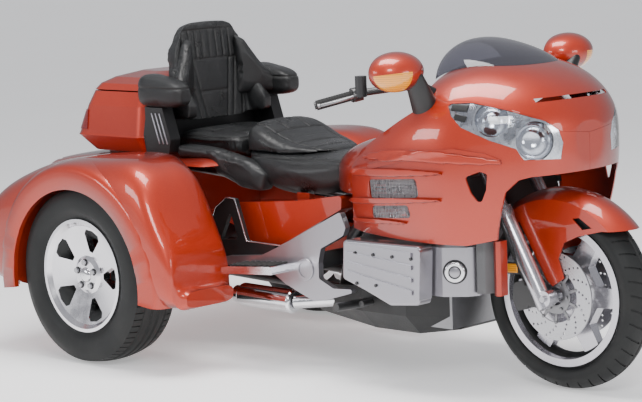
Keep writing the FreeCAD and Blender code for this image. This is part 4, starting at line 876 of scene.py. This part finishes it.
def turned_facing(name, section, direction, place, steps=48):
    """A ring or cap turned about a line along a direction through a place."""
    piece = turned(name, section, (0, 0, 0), steps)
    piece.rotation_euler = Vector(direction).to_track_quat("Y", "Z").to_euler()
    piece.location = place
    return settle(piece)


def round_axle(out, turn):
    """The way from an axle to a point at a radius and an angle from the top."""
    return Vector((out * math.sin(turn), 0, out * math.cos(turn)))


def stud(name, place, direction, radius, height, sides=16, bevel=0.25):
    """A short bevelled cylinder that stands on a place: a bolt head, a nut, a button or a cap."""
    deselect()
    along = Vector(direction).normalized()
    bpy.ops.mesh.primitive_cylinder_add(vertices=sides, radius=radius, depth=height,
                                        location=Vector(place) + along * height / 2,
                                        rotation=along.to_track_quat("Z", "Y").to_euler())
    piece = settle(named(name))
    pick_faces(piece, lambda centre, normal: normal.dot(along) > 0.9)
    bpy.ops.mesh.inset(thickness=radius * bevel, depth=0)
    bpy.ops.transform.translate(value=along * radius * bevel * 0.6)
    finish_edit()
    return piece


def block(name, centre, size, bevel, turn=(0, 0, 0)):
    """A box with rounded edges."""
    deselect()
    bpy.ops.mesh.primitive_cube_add(size=1, location=centre, rotation=turn)
    piece = named(name)
    piece.scale = size
    settle(piece)
    rounded(piece, bevel, 3)
    return piece


def hose(name, points, radius, sides=3, corners="AUTO"):
    """A round tube along a smooth line through points, made a mesh."""
    deselect()
    line = bpy.data.curves.new(name, "CURVE")
    line.dimensions = "3D"
    line.resolution_u = 6
    line.bevel_depth = radius
    line.bevel_resolution = sides
    line.use_fill_caps = True
    spline = line.splines.new("BEZIER")
    spline.bezier_points.add(len(points) - 1)
    for knot, place in zip(spline.bezier_points, points):
        knot.co = place
        knot.handle_left_type = knot.handle_right_type = corners
    piece = bpy.data.objects.new(name, line)
    bpy.context.scene.collection.objects.link(piece)
    activate(piece)
    bpy.ops.object.convert(target="MESH")
    tube = bpy.context.object
    tidy(tube)
    return tube


def on_both_sides(piece, slot, body, name, *nodes):
    """Fits the right-hand piece and its mirror image as one."""
    pair = joined([piece, mirrored(piece, name + "_twin")], name)
    soften(pair, 40)
    return fit(pair, slot, body, *nodes)


# wheels and brakes

ROTOR_HALF = 0.0025
ROTOR_BORE = 0.088
DRILL_ROWS = 14
DRILL_RINGS = (0.100, 0.113, 0.126, 0.139)
DRILL_LEAN = 0.22
DRILL_RADIUS = 0.0042
DRILL_LENGTH = 0.012
CARRIER_BORE = 0.030
CARRIER_REACH = 0.060
CARRIER_ARMS = 10
ARM_CIRCLE = 0.074
DISC_BOLTS = 6
BOLT_CIRCLE = 0.046


def build_discs():
    """Drilled brake rotors on their carriers, with the rivets between them."""
    low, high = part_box("brake_discs")
    reach = (high.z - low.z) / 2
    hub = FRONT_AXLE - Vector((0, high.y - ROTOR_HALF, 0))
    rotor = turned("disc_rotor", [(-ROTOR_HALF, ROTOR_BORE), (ROTOR_HALF, ROTOR_BORE),
                                  (ROTOR_HALF, reach), (-ROTOR_HALF, reach)], hub, 96)
    drills = []
    for row in range(DRILL_ROWS):
        for hole, out in enumerate(DRILL_RINGS):
            turn = math.tau * (row + DRILL_LEAN * hole) / DRILL_ROWS
            place = hub + round_axle(out, turn) - Vector((0, DRILL_LENGTH / 2, 0))
            drills.append(stud("drill", place, (0, 1, 0), DRILL_RADIUS, DRILL_LENGTH, 10))
    drill = joined(drills, "drills")
    modify(rotor, "BOOLEAN", object=drill, operation="DIFFERENCE", solver="EXACT")
    bpy.data.objects.remove(drill)
    on_both_sides(rotor, "steel", "front_wheel", "brake_rotors", "brake_discs")
    parts = [turned("disc_carrier", [(-0.002, CARRIER_BORE), (0.003, CARRIER_BORE),
                                     (0.003, CARRIER_REACH), (-0.002, CARRIER_REACH)], hub)]
    for arm in range(CARRIER_ARMS):
        turn = math.tau * arm / CARRIER_ARMS
        parts.append(block("carrier_arm", hub + round_axle(ARM_CIRCLE, turn), (0.010, 0.0045, 0.036),
                           0.001, (0, turn, 0)))
        place = hub + round_axle(ARM_CIRCLE + 0.014, turn) - Vector((0, 0.002, 0))
        parts.append(stud("carrier_rivet", place, (0, -1, 0), 0.0055, 0.003, 12))
    for bolt in range(DISC_BOLTS):
        place = hub + round_axle(BOLT_CIRCLE, math.tau * (bolt + 0.5) / DISC_BOLTS)
        parts.append(stud("disc_bolt", place - Vector((0, 0.003, 0)), (0, -1, 0), 0.006, 0.004, 6))
    on_both_sides(joined(parts, "disc_carrier"), "cast_alloy", "front_wheel", "brake_carriers")


CAP_SINK = 0.0245
WHEEL_NUTS = 5
NUT_CIRCLE = 0.046


def build_wheel_caps():
    """Centre caps and sunk wheel nuts of the rear wheels, with black discs of painted shade under the
    nuts.
    """
    for side, word in SIDES:
        low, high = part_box("rear_rim_" + word)
        outer = low.y if side < 0 else high.y
        centre = Vector((REAR_AXLE.x, outer - side * CAP_SINK, REAR_AXLE.z))
        out = Vector((0, side, 0))
        cap = turned("cap", [(0, 0.001), (side * 0.012, 0.001), (side * 0.012, 0.014),
                             (side * 0.009, 0.022), (side * 0.004, 0.027), (0, 0.028)], centre)
        body = "rear_wheel_" + word
        soften(cap, 40)
        fit(rename(cap, "wheel_cap_" + word), "chrome", body)
        nuts, painted_shade_discs = [], []
        for nut in range(WHEEL_NUTS):
            place = centre + round_axle(NUT_CIRCLE, math.tau * nut / WHEEL_NUTS)
            # a black disc under each nut paints the shade of its sunk pocket
            painted_shade_discs.append(stud("painted_shade_disc", place, out, 0.0135, 0.0012, 24, 0.1))
            nuts.append(stud("nut", place + out * 0.0012, out, 0.0095, 0.011, 6))
        fit(joined(painted_shade_discs, "nut_painted_shade_discs_" + word), "black_plastic", body)
        fit(joined(nuts, "wheel_nuts_" + word), "steel", body)


# bodywork

ARCH_DROP = 0.026
BAND_SWEEP = math.radians(97)
BAND_SECTION = [(-0.694, 0.3445), (-0.7125, 0.3445), (-0.7155, 0.3485), (-0.7155, 0.412),
                (-0.7135, 0.421), (-0.7075, 0.429), (-0.695, 0.4365), (-0.662, 0.4445),
                (-0.625, 0.448), (-0.625, 0.436), (-0.690, 0.400)]


def build_arches():
    """The flat band round each rear arch."""
    piece = drawn_outline(BAND_SECTION + BAND_SECTION[:1], "fender_band")
    for sweep in (BAND_SWEEP, -BAND_SWEEP):
        pick_points(piece, lambda co: abs(co.x) < 1e-6 and co.z > 0)
        bpy.ops.mesh.spin(steps=36, angle=sweep, center=(0, 0, 0), axis=(0, 1, 0))
        finish_edit()
    tidy(piece)
    pick_points(piece, everywhere)
    bpy.ops.mesh.fill_holes(sides=0)
    bpy.ops.mesh.normals_make_consistent(inside=False)
    finish_edit()
    piece.location = REAR_AXLE - Vector((0, 0, ARCH_DROP))
    settle(piece)
    for reach, inward in ((0.30, 0.0012), (0.34, 0.0022), (0.38, 0.0034), (0.41, 0.0046)):
        shift(piece, lambda co: abs(co.x - REAR_AXLE.x) > reach, (0, inward, 0))
    on_both_sides(piece, "orange_paint", "chassis", "fender_bands")


BEYOND_SKIN = -0.55
RIDGE_COLUMNS = 36
POINTED = ((0.04, 0.55), (0.6, 0.8), (0.75, 0.75), (0.88, 0.6), (0.96, 0.4))
LENS_SHAPED = ((0.18, 0.7), (0.08, 0.45), (0.7, 0.8), (0.82, 0.75), (0.92, 0.5))


def blade(name, start, end, width, height, node="side_fairings", taper=POINTED, arch=0.0):
    """A raised ridge on a node's right side between two (x, z) points, thinning at its ends.

    Points that find no surface behind them are left out.
    """
    (x0, z0), (x1, z1) = start, end
    length = math.hypot(x1 - x0, z1 - z0)
    deselect()
    bpy.ops.mesh.primitive_grid_add(x_subdivisions=RIDGE_COLUMNS, y_subdivisions=4, size=1,
                                    location=((x0 + x1) / 2, BEYOND_SKIN, (z0 + z1) / 2))
    piece = named(name)
    piece.scale = (length, width, 1)
    piece.rotation_euler = (math.pi / 2, math.atan2(z0 - z1, x1 - x0), 0)
    settle(piece)
    for share, narrow in taper:
        limit = x0 + share * (x1 - x0)
        front = share > 0.5
        pick_points(piece, lambda co: co.x > limit if front else co.x < limit)
        line = z0 + share * (z1 - z0)
        bpy.ops.transform.resize(value=(1, 1, narrow), center_override=(limit, 0, line))
        finish_edit()
    for column in range(RIDGE_COLUMNS if arch else 0):
        first, last = (x0 + (x1 - x0) * (column + step) / RIDGE_COLUMNS for step in (0, 1))
        rise = arch * math.sin(math.pi * (column + 0.5) / RIDGE_COLUMNS)
        shift(piece, lambda co: first <= co.x < last, (0, 0, rise))
    modify(piece, "SHRINKWRAP", target=NODES[node], wrap_method="PROJECT",
           use_project_y=True, use_positive_direction=True, use_negative_direction=False,
           offset=-0.001)
    pick_points(piece, lambda co: co.y < BEYOND_SKIN + 0.001)
    bpy.ops.mesh.delete(type="VERT")
    bpy.ops.mesh.select_all(action="SELECT")
    bpy.ops.mesh.delete_loose(use_verts=True, use_edges=True, use_faces=False)
    pick_points(piece, everywhere)
    bpy.ops.mesh.extrude_region_move(TRANSFORM_OT_translate={"value": (0, -height, 0.3 * height)})
    finish_edit()
    tidy(piece)
    rounded(piece, height * 0.45, 3, 50)
    return piece


def build_ridges():
    """The ridges above, between and below the fairing's two vents, and the lamps' dark bars."""
    ridges = [blade("ridge", (0.325, 0.727), (0.775, 0.752), 0.024, 0.020),
              blade("ridge", (0.318, 0.6267), (0.765, 0.664), 0.017, 0.018),
              blade("ridge", (0.325, 0.562), (0.610, 0.577), 0.014, 0.013),
              blade("ridge", (0.405, 0.782), (0.950, 0.786), 0.036, 0.013, taper=LENS_SHAPED,
                    arch=0.020)]
    on_both_sides(joined(ridges, "fairing_ridges"), "orange_paint", "chassis", "fairing_ridges")
    bars = [blade("lamp_bar", (0.788, 0.965), (0.842, 0.961), 0.020, 0.0015, "headlamp_lenses", ()),
            blade("lamp_bar", (0.806, 0.935), (0.846, 0.927), 0.018, 0.0015, "headlamp_lenses", ())]
    on_both_sides(joined(bars, "lamp_bars"), "black_plastic", "chassis", "lamp_bars")


def skin_at(node, x, z):
    """How far out a node's right side is at a height and a distance along."""
    found, place, normal, number = NODES[node].ray_cast(Vector((x, -0.7, z)), Vector((0, 1, 0)))
    return place.y if found else None


VENT_SLOPE = math.radians(4.6)
VENTS = ((0.557, 0.690, 0.226, 0.062), (0.537, 0.611, 0.184, 0.041))
WIRE_PITCH = 0.0048
WIRE_THICKNESS = 0.0017
WIRE_COLUMNS = 14
BESIDE_VENT = 0.012


def build_vent_wire():
    """Wire mesh stretched across the fairing's vents, just inside the panel's face."""
    nets = []
    for middle_x, middle_z, length, height in VENTS:
        deselect()
        bpy.ops.mesh.primitive_grid_add(x_subdivisions=round(length / WIRE_PITCH),
                                        y_subdivisions=round(height / WIRE_PITCH), size=1,
                                        location=(middle_x, 0, middle_z))
        net = named("vent_net")
        net.scale = (length, height, 1)
        net.rotation_euler = (math.pi / 2, -VENT_SLOPE, 0)
        settle(net)
        modify(net, "WIREFRAME", thickness=WIRE_THICKNESS, use_boundary=True, use_even_offset=False)
        for column in range(WIRE_COLUMNS):
            first = middle_x + length * (column / WIRE_COLUMNS - 0.5)
            last = first + length / WIRE_COLUMNS
            middle = (first + last) / 2
            level = middle_z + (middle - middle_x) * math.tan(VENT_SLOPE)
            above = skin_at("side_fairings", middle, level + height / 2 + BESIDE_VENT)
            below = skin_at("side_fairings", middle, level - height / 2 - BESIDE_VENT)
            low_end = -1.0 if column == 0 else first
            high_end = 2.0 if column == WIRE_COLUMNS - 1 else last
            shift(net, lambda co: low_end <= co.x < high_end, (0, (above + below) / 2 + 0.003, 0))
        nets.append(net)
    net = on_both_sides(joined(nets, "vent_wire"), "grey_plastic", "chassis", "vent_wire")
    net.data.materials[0] = WIRE


CAP_MIDDLE = Vector((0.7515, -0.3223, 0.418))
CAP_FACING = Vector((0.55, -0.83, 0)).normalized()
COVER_FACE = -0.4065
UPPER_BOLTS = (0.463, (0.385, 0.467, 0.552, 0.636))
LOWER_BOLTS = (0.360, (0.389, 0.476, 0.571))


def build_engine_details():
    """Dark rings of painted shade round the round caps and under their domes, the caps' domes, and the
    bolts on the cylinder head covers.
    """
    # painted shade: a black ring round each round cap and a black disc under its dome
    painted_shade_ring = [(-0.001, 0.0345), (0.0025, 0.0345), (0.0025, 0.0385), (-0.001, 0.041)]
    painted_shade_disc = [(0.0085, 0), (0.0085, 0.0215), (0.0098, 0.0215), (0.0098, 0)]
    dark = [turned_facing("cap_painted_shade_ring", painted_shade_ring, CAP_FACING, CAP_MIDDLE),
            turned_facing("cap_painted_shade_disc", painted_shade_disc, CAP_FACING, CAP_MIDDLE)]
    on_both_sides(joined(dark, "cap_painted_shade_ring"), "black_plastic", "chassis", "cap_painted_shade_rings")
    dome = [(0.0095, 0), (0.0095, 0.018), (0.0125, 0.017), (0.0145, 0.011), (0.0155, 0)]
    on_both_sides(turned_facing("cap_dome", dome, CAP_FACING, CAP_MIDDLE), "silver_cover", "chassis",
                  "cap_domes")
    bolts = []
    for level, row in (UPPER_BOLTS, LOWER_BOLTS):
        for along in row:
            bolts.append(stud("cover_bolt", (along, COVER_FACE, level), (0, -1, 0), 0.0062, 0.005, 6))
    on_both_sides(joined(bolts, "cover_bolt"), "black_metal", "chassis", "cover_bolts")


def sleeve(name, start, end, wide_start, wide_end, flat):
    """A tapered oval arm between two points, with its ends rounded."""
    deselect()
    run = Vector(end) - Vector(start)
    bpy.ops.mesh.primitive_cone_add(vertices=40, radius1=wide_start, radius2=wide_end,
                                    depth=run.length, location=(Vector(start) + Vector(end)) / 2)
    piece = named(name)
    piece.scale = (flat, 1, 1)
    piece.rotation_mode = "QUATERNION"
    piece.rotation_quaternion = run.to_track_quat("Z", "X")
    settle(piece)
    piece.rotation_mode = "XYZ"
    rounded(piece, min(wide_start, wide_end) * 0.35, 3, 40)
    return piece


MIRROR_ARM_FOOT = (0.668, -0.340, 0.945)
MIRROR_ARM_TOP = (0.684, -0.425, 1.075)


def build_mirror_arms():
    arm = sleeve("mirror_arm", MIRROR_ARM_FOOT, MIRROR_ARM_TOP, 0.052, 0.032, 0.7)
    on_both_sides(arm, "black_plastic", "chassis", "mirror_arms")


REFLECTOR_MIDDLE = Vector((0.822, -0.132, 0.410))
REFLECTOR_TILT = (0, -0.05, 0)
BRAKE_HOSE = [(0.700, -0.085, 0.760), (0.742, -0.128, 0.690), (0.800, -0.150, 0.585),
              (0.848, -0.150, 0.480), (0.862, -0.120, 0.400), (0.858, -0.090, 0.350)]


def build_fork_fittings():
    """Side reflectors on brackets, and the brake hose down each fork leg."""
    lens_block = block("reflector", REFLECTOR_MIDDLE, (0.074, 0.007, 0.030), 0.002, REFLECTOR_TILT)
    on_both_sides(lens_block, "amber_lens", "fork", "fork_reflectors")
    frame_block = block("reflector_frame", REFLECTOR_MIDDLE + Vector((0.004, 0.004, 0)),
                        (0.092, 0.005, 0.040), 0.002, REFLECTOR_TILT)
    bracket = block("reflector_bracket", REFLECTOR_MIDDLE + Vector((0.062, 0.008, 0.002)),
                    (0.060, 0.004, 0.022), 0.001)
    on_both_sides(joined([frame_block, bracket], "reflector_frame"), "black_metal", "fork",
                  "reflector_frames")
    on_both_sides(hose("brake_hose", BRAKE_HOSE, 0.0045), "grip_rubber", "fork", "brake_hoses")


BAR_BEND = Vector((0.330, -0.285, 0.990))
BAR_END = Vector((0.222, -0.408, 0.952))
GRIP_RADIUS = 0.0165
GRIP_RIBS = 12
RIB_STEP = 0.009


def build_hand_fittings():
    """Levers with their pivots, the switch blocks and the grips' ribs."""
    along = (BAR_END - BAR_BEND).normalized()
    forward = Vector((0, 0, 1)).cross(along).normalized()
    turn = (0, 0, math.atan2(along.y, along.x))
    root = BAR_BEND + along * 0.006
    lever = [root + forward * 0.030, root + along * 0.045 + forward * 0.050,
             root + along * 0.100 + forward * 0.052, root + along * 0.150 + forward * 0.040]
    parts = [hose("lever", lever, 0.0052),
             stud("lever_end", lever[-1] - along * 0.004, along, 0.0075, 0.008, 20)]
    on_both_sides(joined(parts, "lever"), "cast_alloy", "fork", "hand_levers")
    pivot = [block("lever_pivot", root + forward * 0.026, (0.030, 0.030, 0.022), 0.004, turn),
             block("switch_block", BAR_BEND + along * 0.028 - forward * 0.008,
                   (0.030, 0.044, 0.046), 0.007, turn)]
    on_both_sides(joined(pivot, "lever_pivot"), "black_metal", "fork", "lever_pivots")
    rib = [(-0.0022, 0.014), (0.0022, 0.014), (0.0022, GRIP_RADIUS + 0.0003),
           (0, GRIP_RADIUS + 0.0014), (-0.0022, GRIP_RADIUS + 0.0003)]
    ribs = [turned_facing("rib", rib, along, BAR_BEND + along * (0.050 + RIB_STEP * number), 24)
            for number in range(GRIP_RIBS)]
    on_both_sides(joined(ribs, "rib"), "grip_rubber", "fork", "grip_ribs")


BOX_BARS = 3
BOX_BAR_STEP = 0.021
TRIM_EDGE = [(-0.449, 0.556), (-0.446, 0.417), (-0.379, 0.556), (-0.322, 0.595), (-0.277, 0.592),
             (-0.225, 0.443), (-0.052, 0.440)]


def build_box_trims():
    """Bright bars on the box front's sides, and the bright edge of the three-cornered trims."""
    bars = []
    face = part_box("box_front")[0].y - 0.0015
    for number in range(BOX_BARS):
        middle = Vector((-0.703 + BOX_BAR_STEP * number, face, 0.825))
        bars.append(block("trim_bar", middle, (0.006, 0.005, 0.120), 0.0015, (0, -0.337, 0)))
    on_both_sides(joined(bars, "trim_bar"), "silver_cover", "chassis", "box_trim_bars")
    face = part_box("seat_trims")[0].y - 0.0005
    strip = hose("trim_edge", [(x, face, z) for x, z in TRIM_EDGE], 0.0028, 3, "VECTOR")
    on_both_sides(strip, "polished_wheel", "chassis", "trim_edges")


PAD_RIBS = 8


def build_floorboard_pads():
    """Rubber ribs across the passenger's floorboards."""
    ribs = []
    for number in range(PAD_RIBS):
        share = number / (PAD_RIBS - 1)
        middle = Vector((-0.185 + 0.19 * share, -0.398, 0.3765 + 0.0135 * share + 0.0015))
        ribs.append(block("pad_rib", middle, (0.013, 0.086, 0.005), 0.0018, (0, -0.072, 0)))
    on_both_sides(joined(ribs, "pad_rib"), "grip_rubber", "chassis", "floorboard_pads")


DIALS = ((-0.038, 0.029, 1.056), (0.038, 0.029, 1.056), (-0.108, 0.021, 1.049), (0.108, 0.021, 1.049))
DIAL_MARKS = 9


def build_dials():
    """Four round instruments on the dash, facing the rider, with plain rings of marks."""
    faces, bezels, marks = [], [], []
    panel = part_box("dash_panel")[0].x
    normal = Vector((-1, 0, 0))
    turn = normal.to_track_quat("Y", "Z")
    for across, radius, level in DIALS:
        place = Vector((panel, across, level))
        dial = [(-0.002, 0), (-0.002, radius), (0.0015, radius), (0.0015, 0)]
        bezel = [(-0.002, radius - 0.001), (0.004, radius - 0.001), (0.006, radius + 0.002),
                 (0.003, radius + 0.005), (-0.002, radius + 0.005)]
        faces.append(turned_facing("dial", dial, normal, place))
        bezels.append(turned_facing("bezel", bezel, normal, place))
        for mark in range(DIAL_MARKS):
            angle = math.radians(-120 + 30 * mark)
            way = turn @ Vector((math.sin(angle), 0, math.cos(angle)))
            tick = place + normal * 0.0018 + way * radius * 0.82
            marks.append(stud("mark", tick, normal, 0.0016, 0.0006, 8))
        needle = turn @ Vector((-0.8, 0, -0.45)).normalized()
        tip = place + normal * 0.003
        marks.append(hose("needle", [tip, tip + needle * radius * 0.7], 0.0009, 2))
    soften(fit(joined(faces, "dials"), "black_plastic", "chassis"), 40)
    soften(fit(joined(bezels, "dial_bezels"), "chrome", "chassis"), 40)
    fit(joined(marks, "dial_marks"), "lamp_bowl", "chassis")


# floor, light and camera

FLOOR_SIZE = 120


def build_stage():
    """A wide pale floor, which fills the picture behind the vehicle too."""
    deselect()
    bpy.ops.mesh.primitive_grid_add(x_subdivisions=12, y_subdivisions=12, size=1, location=(0, 0, 0))
    floor = named("studio_floor")
    floor.scale = (FLOOR_SIZE, FLOOR_SIZE, 1)
    settle(floor)
    material, tree, shader = new_finish("pale studio floor", 0.75, Emission_Strength=0.4,
                                        Emission_Color=(1.0, 1.0, 1.0, 1.0))
    uneven = use(tree, UNEVEN, Patch_scale=0.8, Grain_scale=60.0)
    tree.links.new(blend_colours(tree, uneven.outputs["Patches"], (0.93, 0.93, 0.93),
                                 (0.96, 0.96, 0.96)), shader.inputs["Base Color"])
    floor.data.materials.append(material)


def area_light(name, place, target, across, up, power, colour=(1, 1, 1)):
    deselect()
    bpy.ops.object.light_add(type="AREA", location=place)
    lamp = bpy.context.object
    lamp.name = name
    lamp.data.shape = "RECTANGLE"
    lamp.data.size, lamp.data.size_y = across, up
    lamp.data.energy = power
    lamp.data.color = colour
    lamp.rotation_euler = (Vector(target) - Vector(place)).to_track_quat("-Z", "Y").to_euler()


def build_lights():
    area_light("overhead softbox", (0.2, -0.6, 4.2), (0, 0, 0.5), 3.0, 1.6, 230, (1.0, 0.985, 0.97))
    area_light("key softbox", (3.6, -3.4, 3.4), (0, 0, 0.5), 1.6, 1.2, 110)
    area_light("side strip", (-2.2, -4.4, 1.9), (-0.3, 0, 0.5), 2.2, 0.9, 60, (0.95, 0.97, 1.0))
    area_light("front fill", (5.2, 0.8, 1.4), (0.4, 0, 0.6), 1.6, 1.0, 36)
    world = bpy.context.scene.world or bpy.data.worlds.new("studio")
    bpy.context.scene.world = world
    world.use_nodes = True
    background = world.node_tree.nodes["Background"]
    background.inputs["Color"].default_value = (0.93, 0.94, 1.0, 1)
    background.inputs["Strength"].default_value = 0.5


CAMERA_PLACE = (5.540, -5.884, 1.653)
CAMERA_YAW = 2.34029
CAMERA_PITCH = -0.133507
CAMERA_ROLL = -0.0375417
CAMERA_LENS = 127.08


def build_camera():
    level = math.cos(CAMERA_PITCH)
    sight = Vector((level * math.cos(CAMERA_YAW), level * math.sin(CAMERA_YAW),
                    math.sin(CAMERA_PITCH)))
    right = sight.cross(Vector((0, 0, 1))).normalized()
    up = right.cross(sight)
    rolled_right = right * math.cos(CAMERA_ROLL) + up * math.sin(CAMERA_ROLL)
    rolled_up = up * math.cos(CAMERA_ROLL) - right * math.sin(CAMERA_ROLL)
    turn = Matrix((rolled_right, rolled_up, -sight)).transposed().to_4x4()
    deselect()
    bpy.ops.object.camera_add()
    camera = bpy.context.object
    camera.matrix_world = Matrix.Translation(CAMERA_PLACE) @ turn
    camera.data.sensor_width = 36
    camera.data.lens = CAMERA_LENS
    bpy.context.scene.camera = camera


for build in (build_tyres, build_cushions, build_discs, build_wheel_caps, build_arches, build_ridges,
              build_vent_wire, build_engine_details, build_mirror_arms, build_fork_fittings,
              build_hand_fittings, build_box_trims, build_floorboard_pads, build_dials, build_stage,
              build_lights, build_camera):
    build()

deselect()
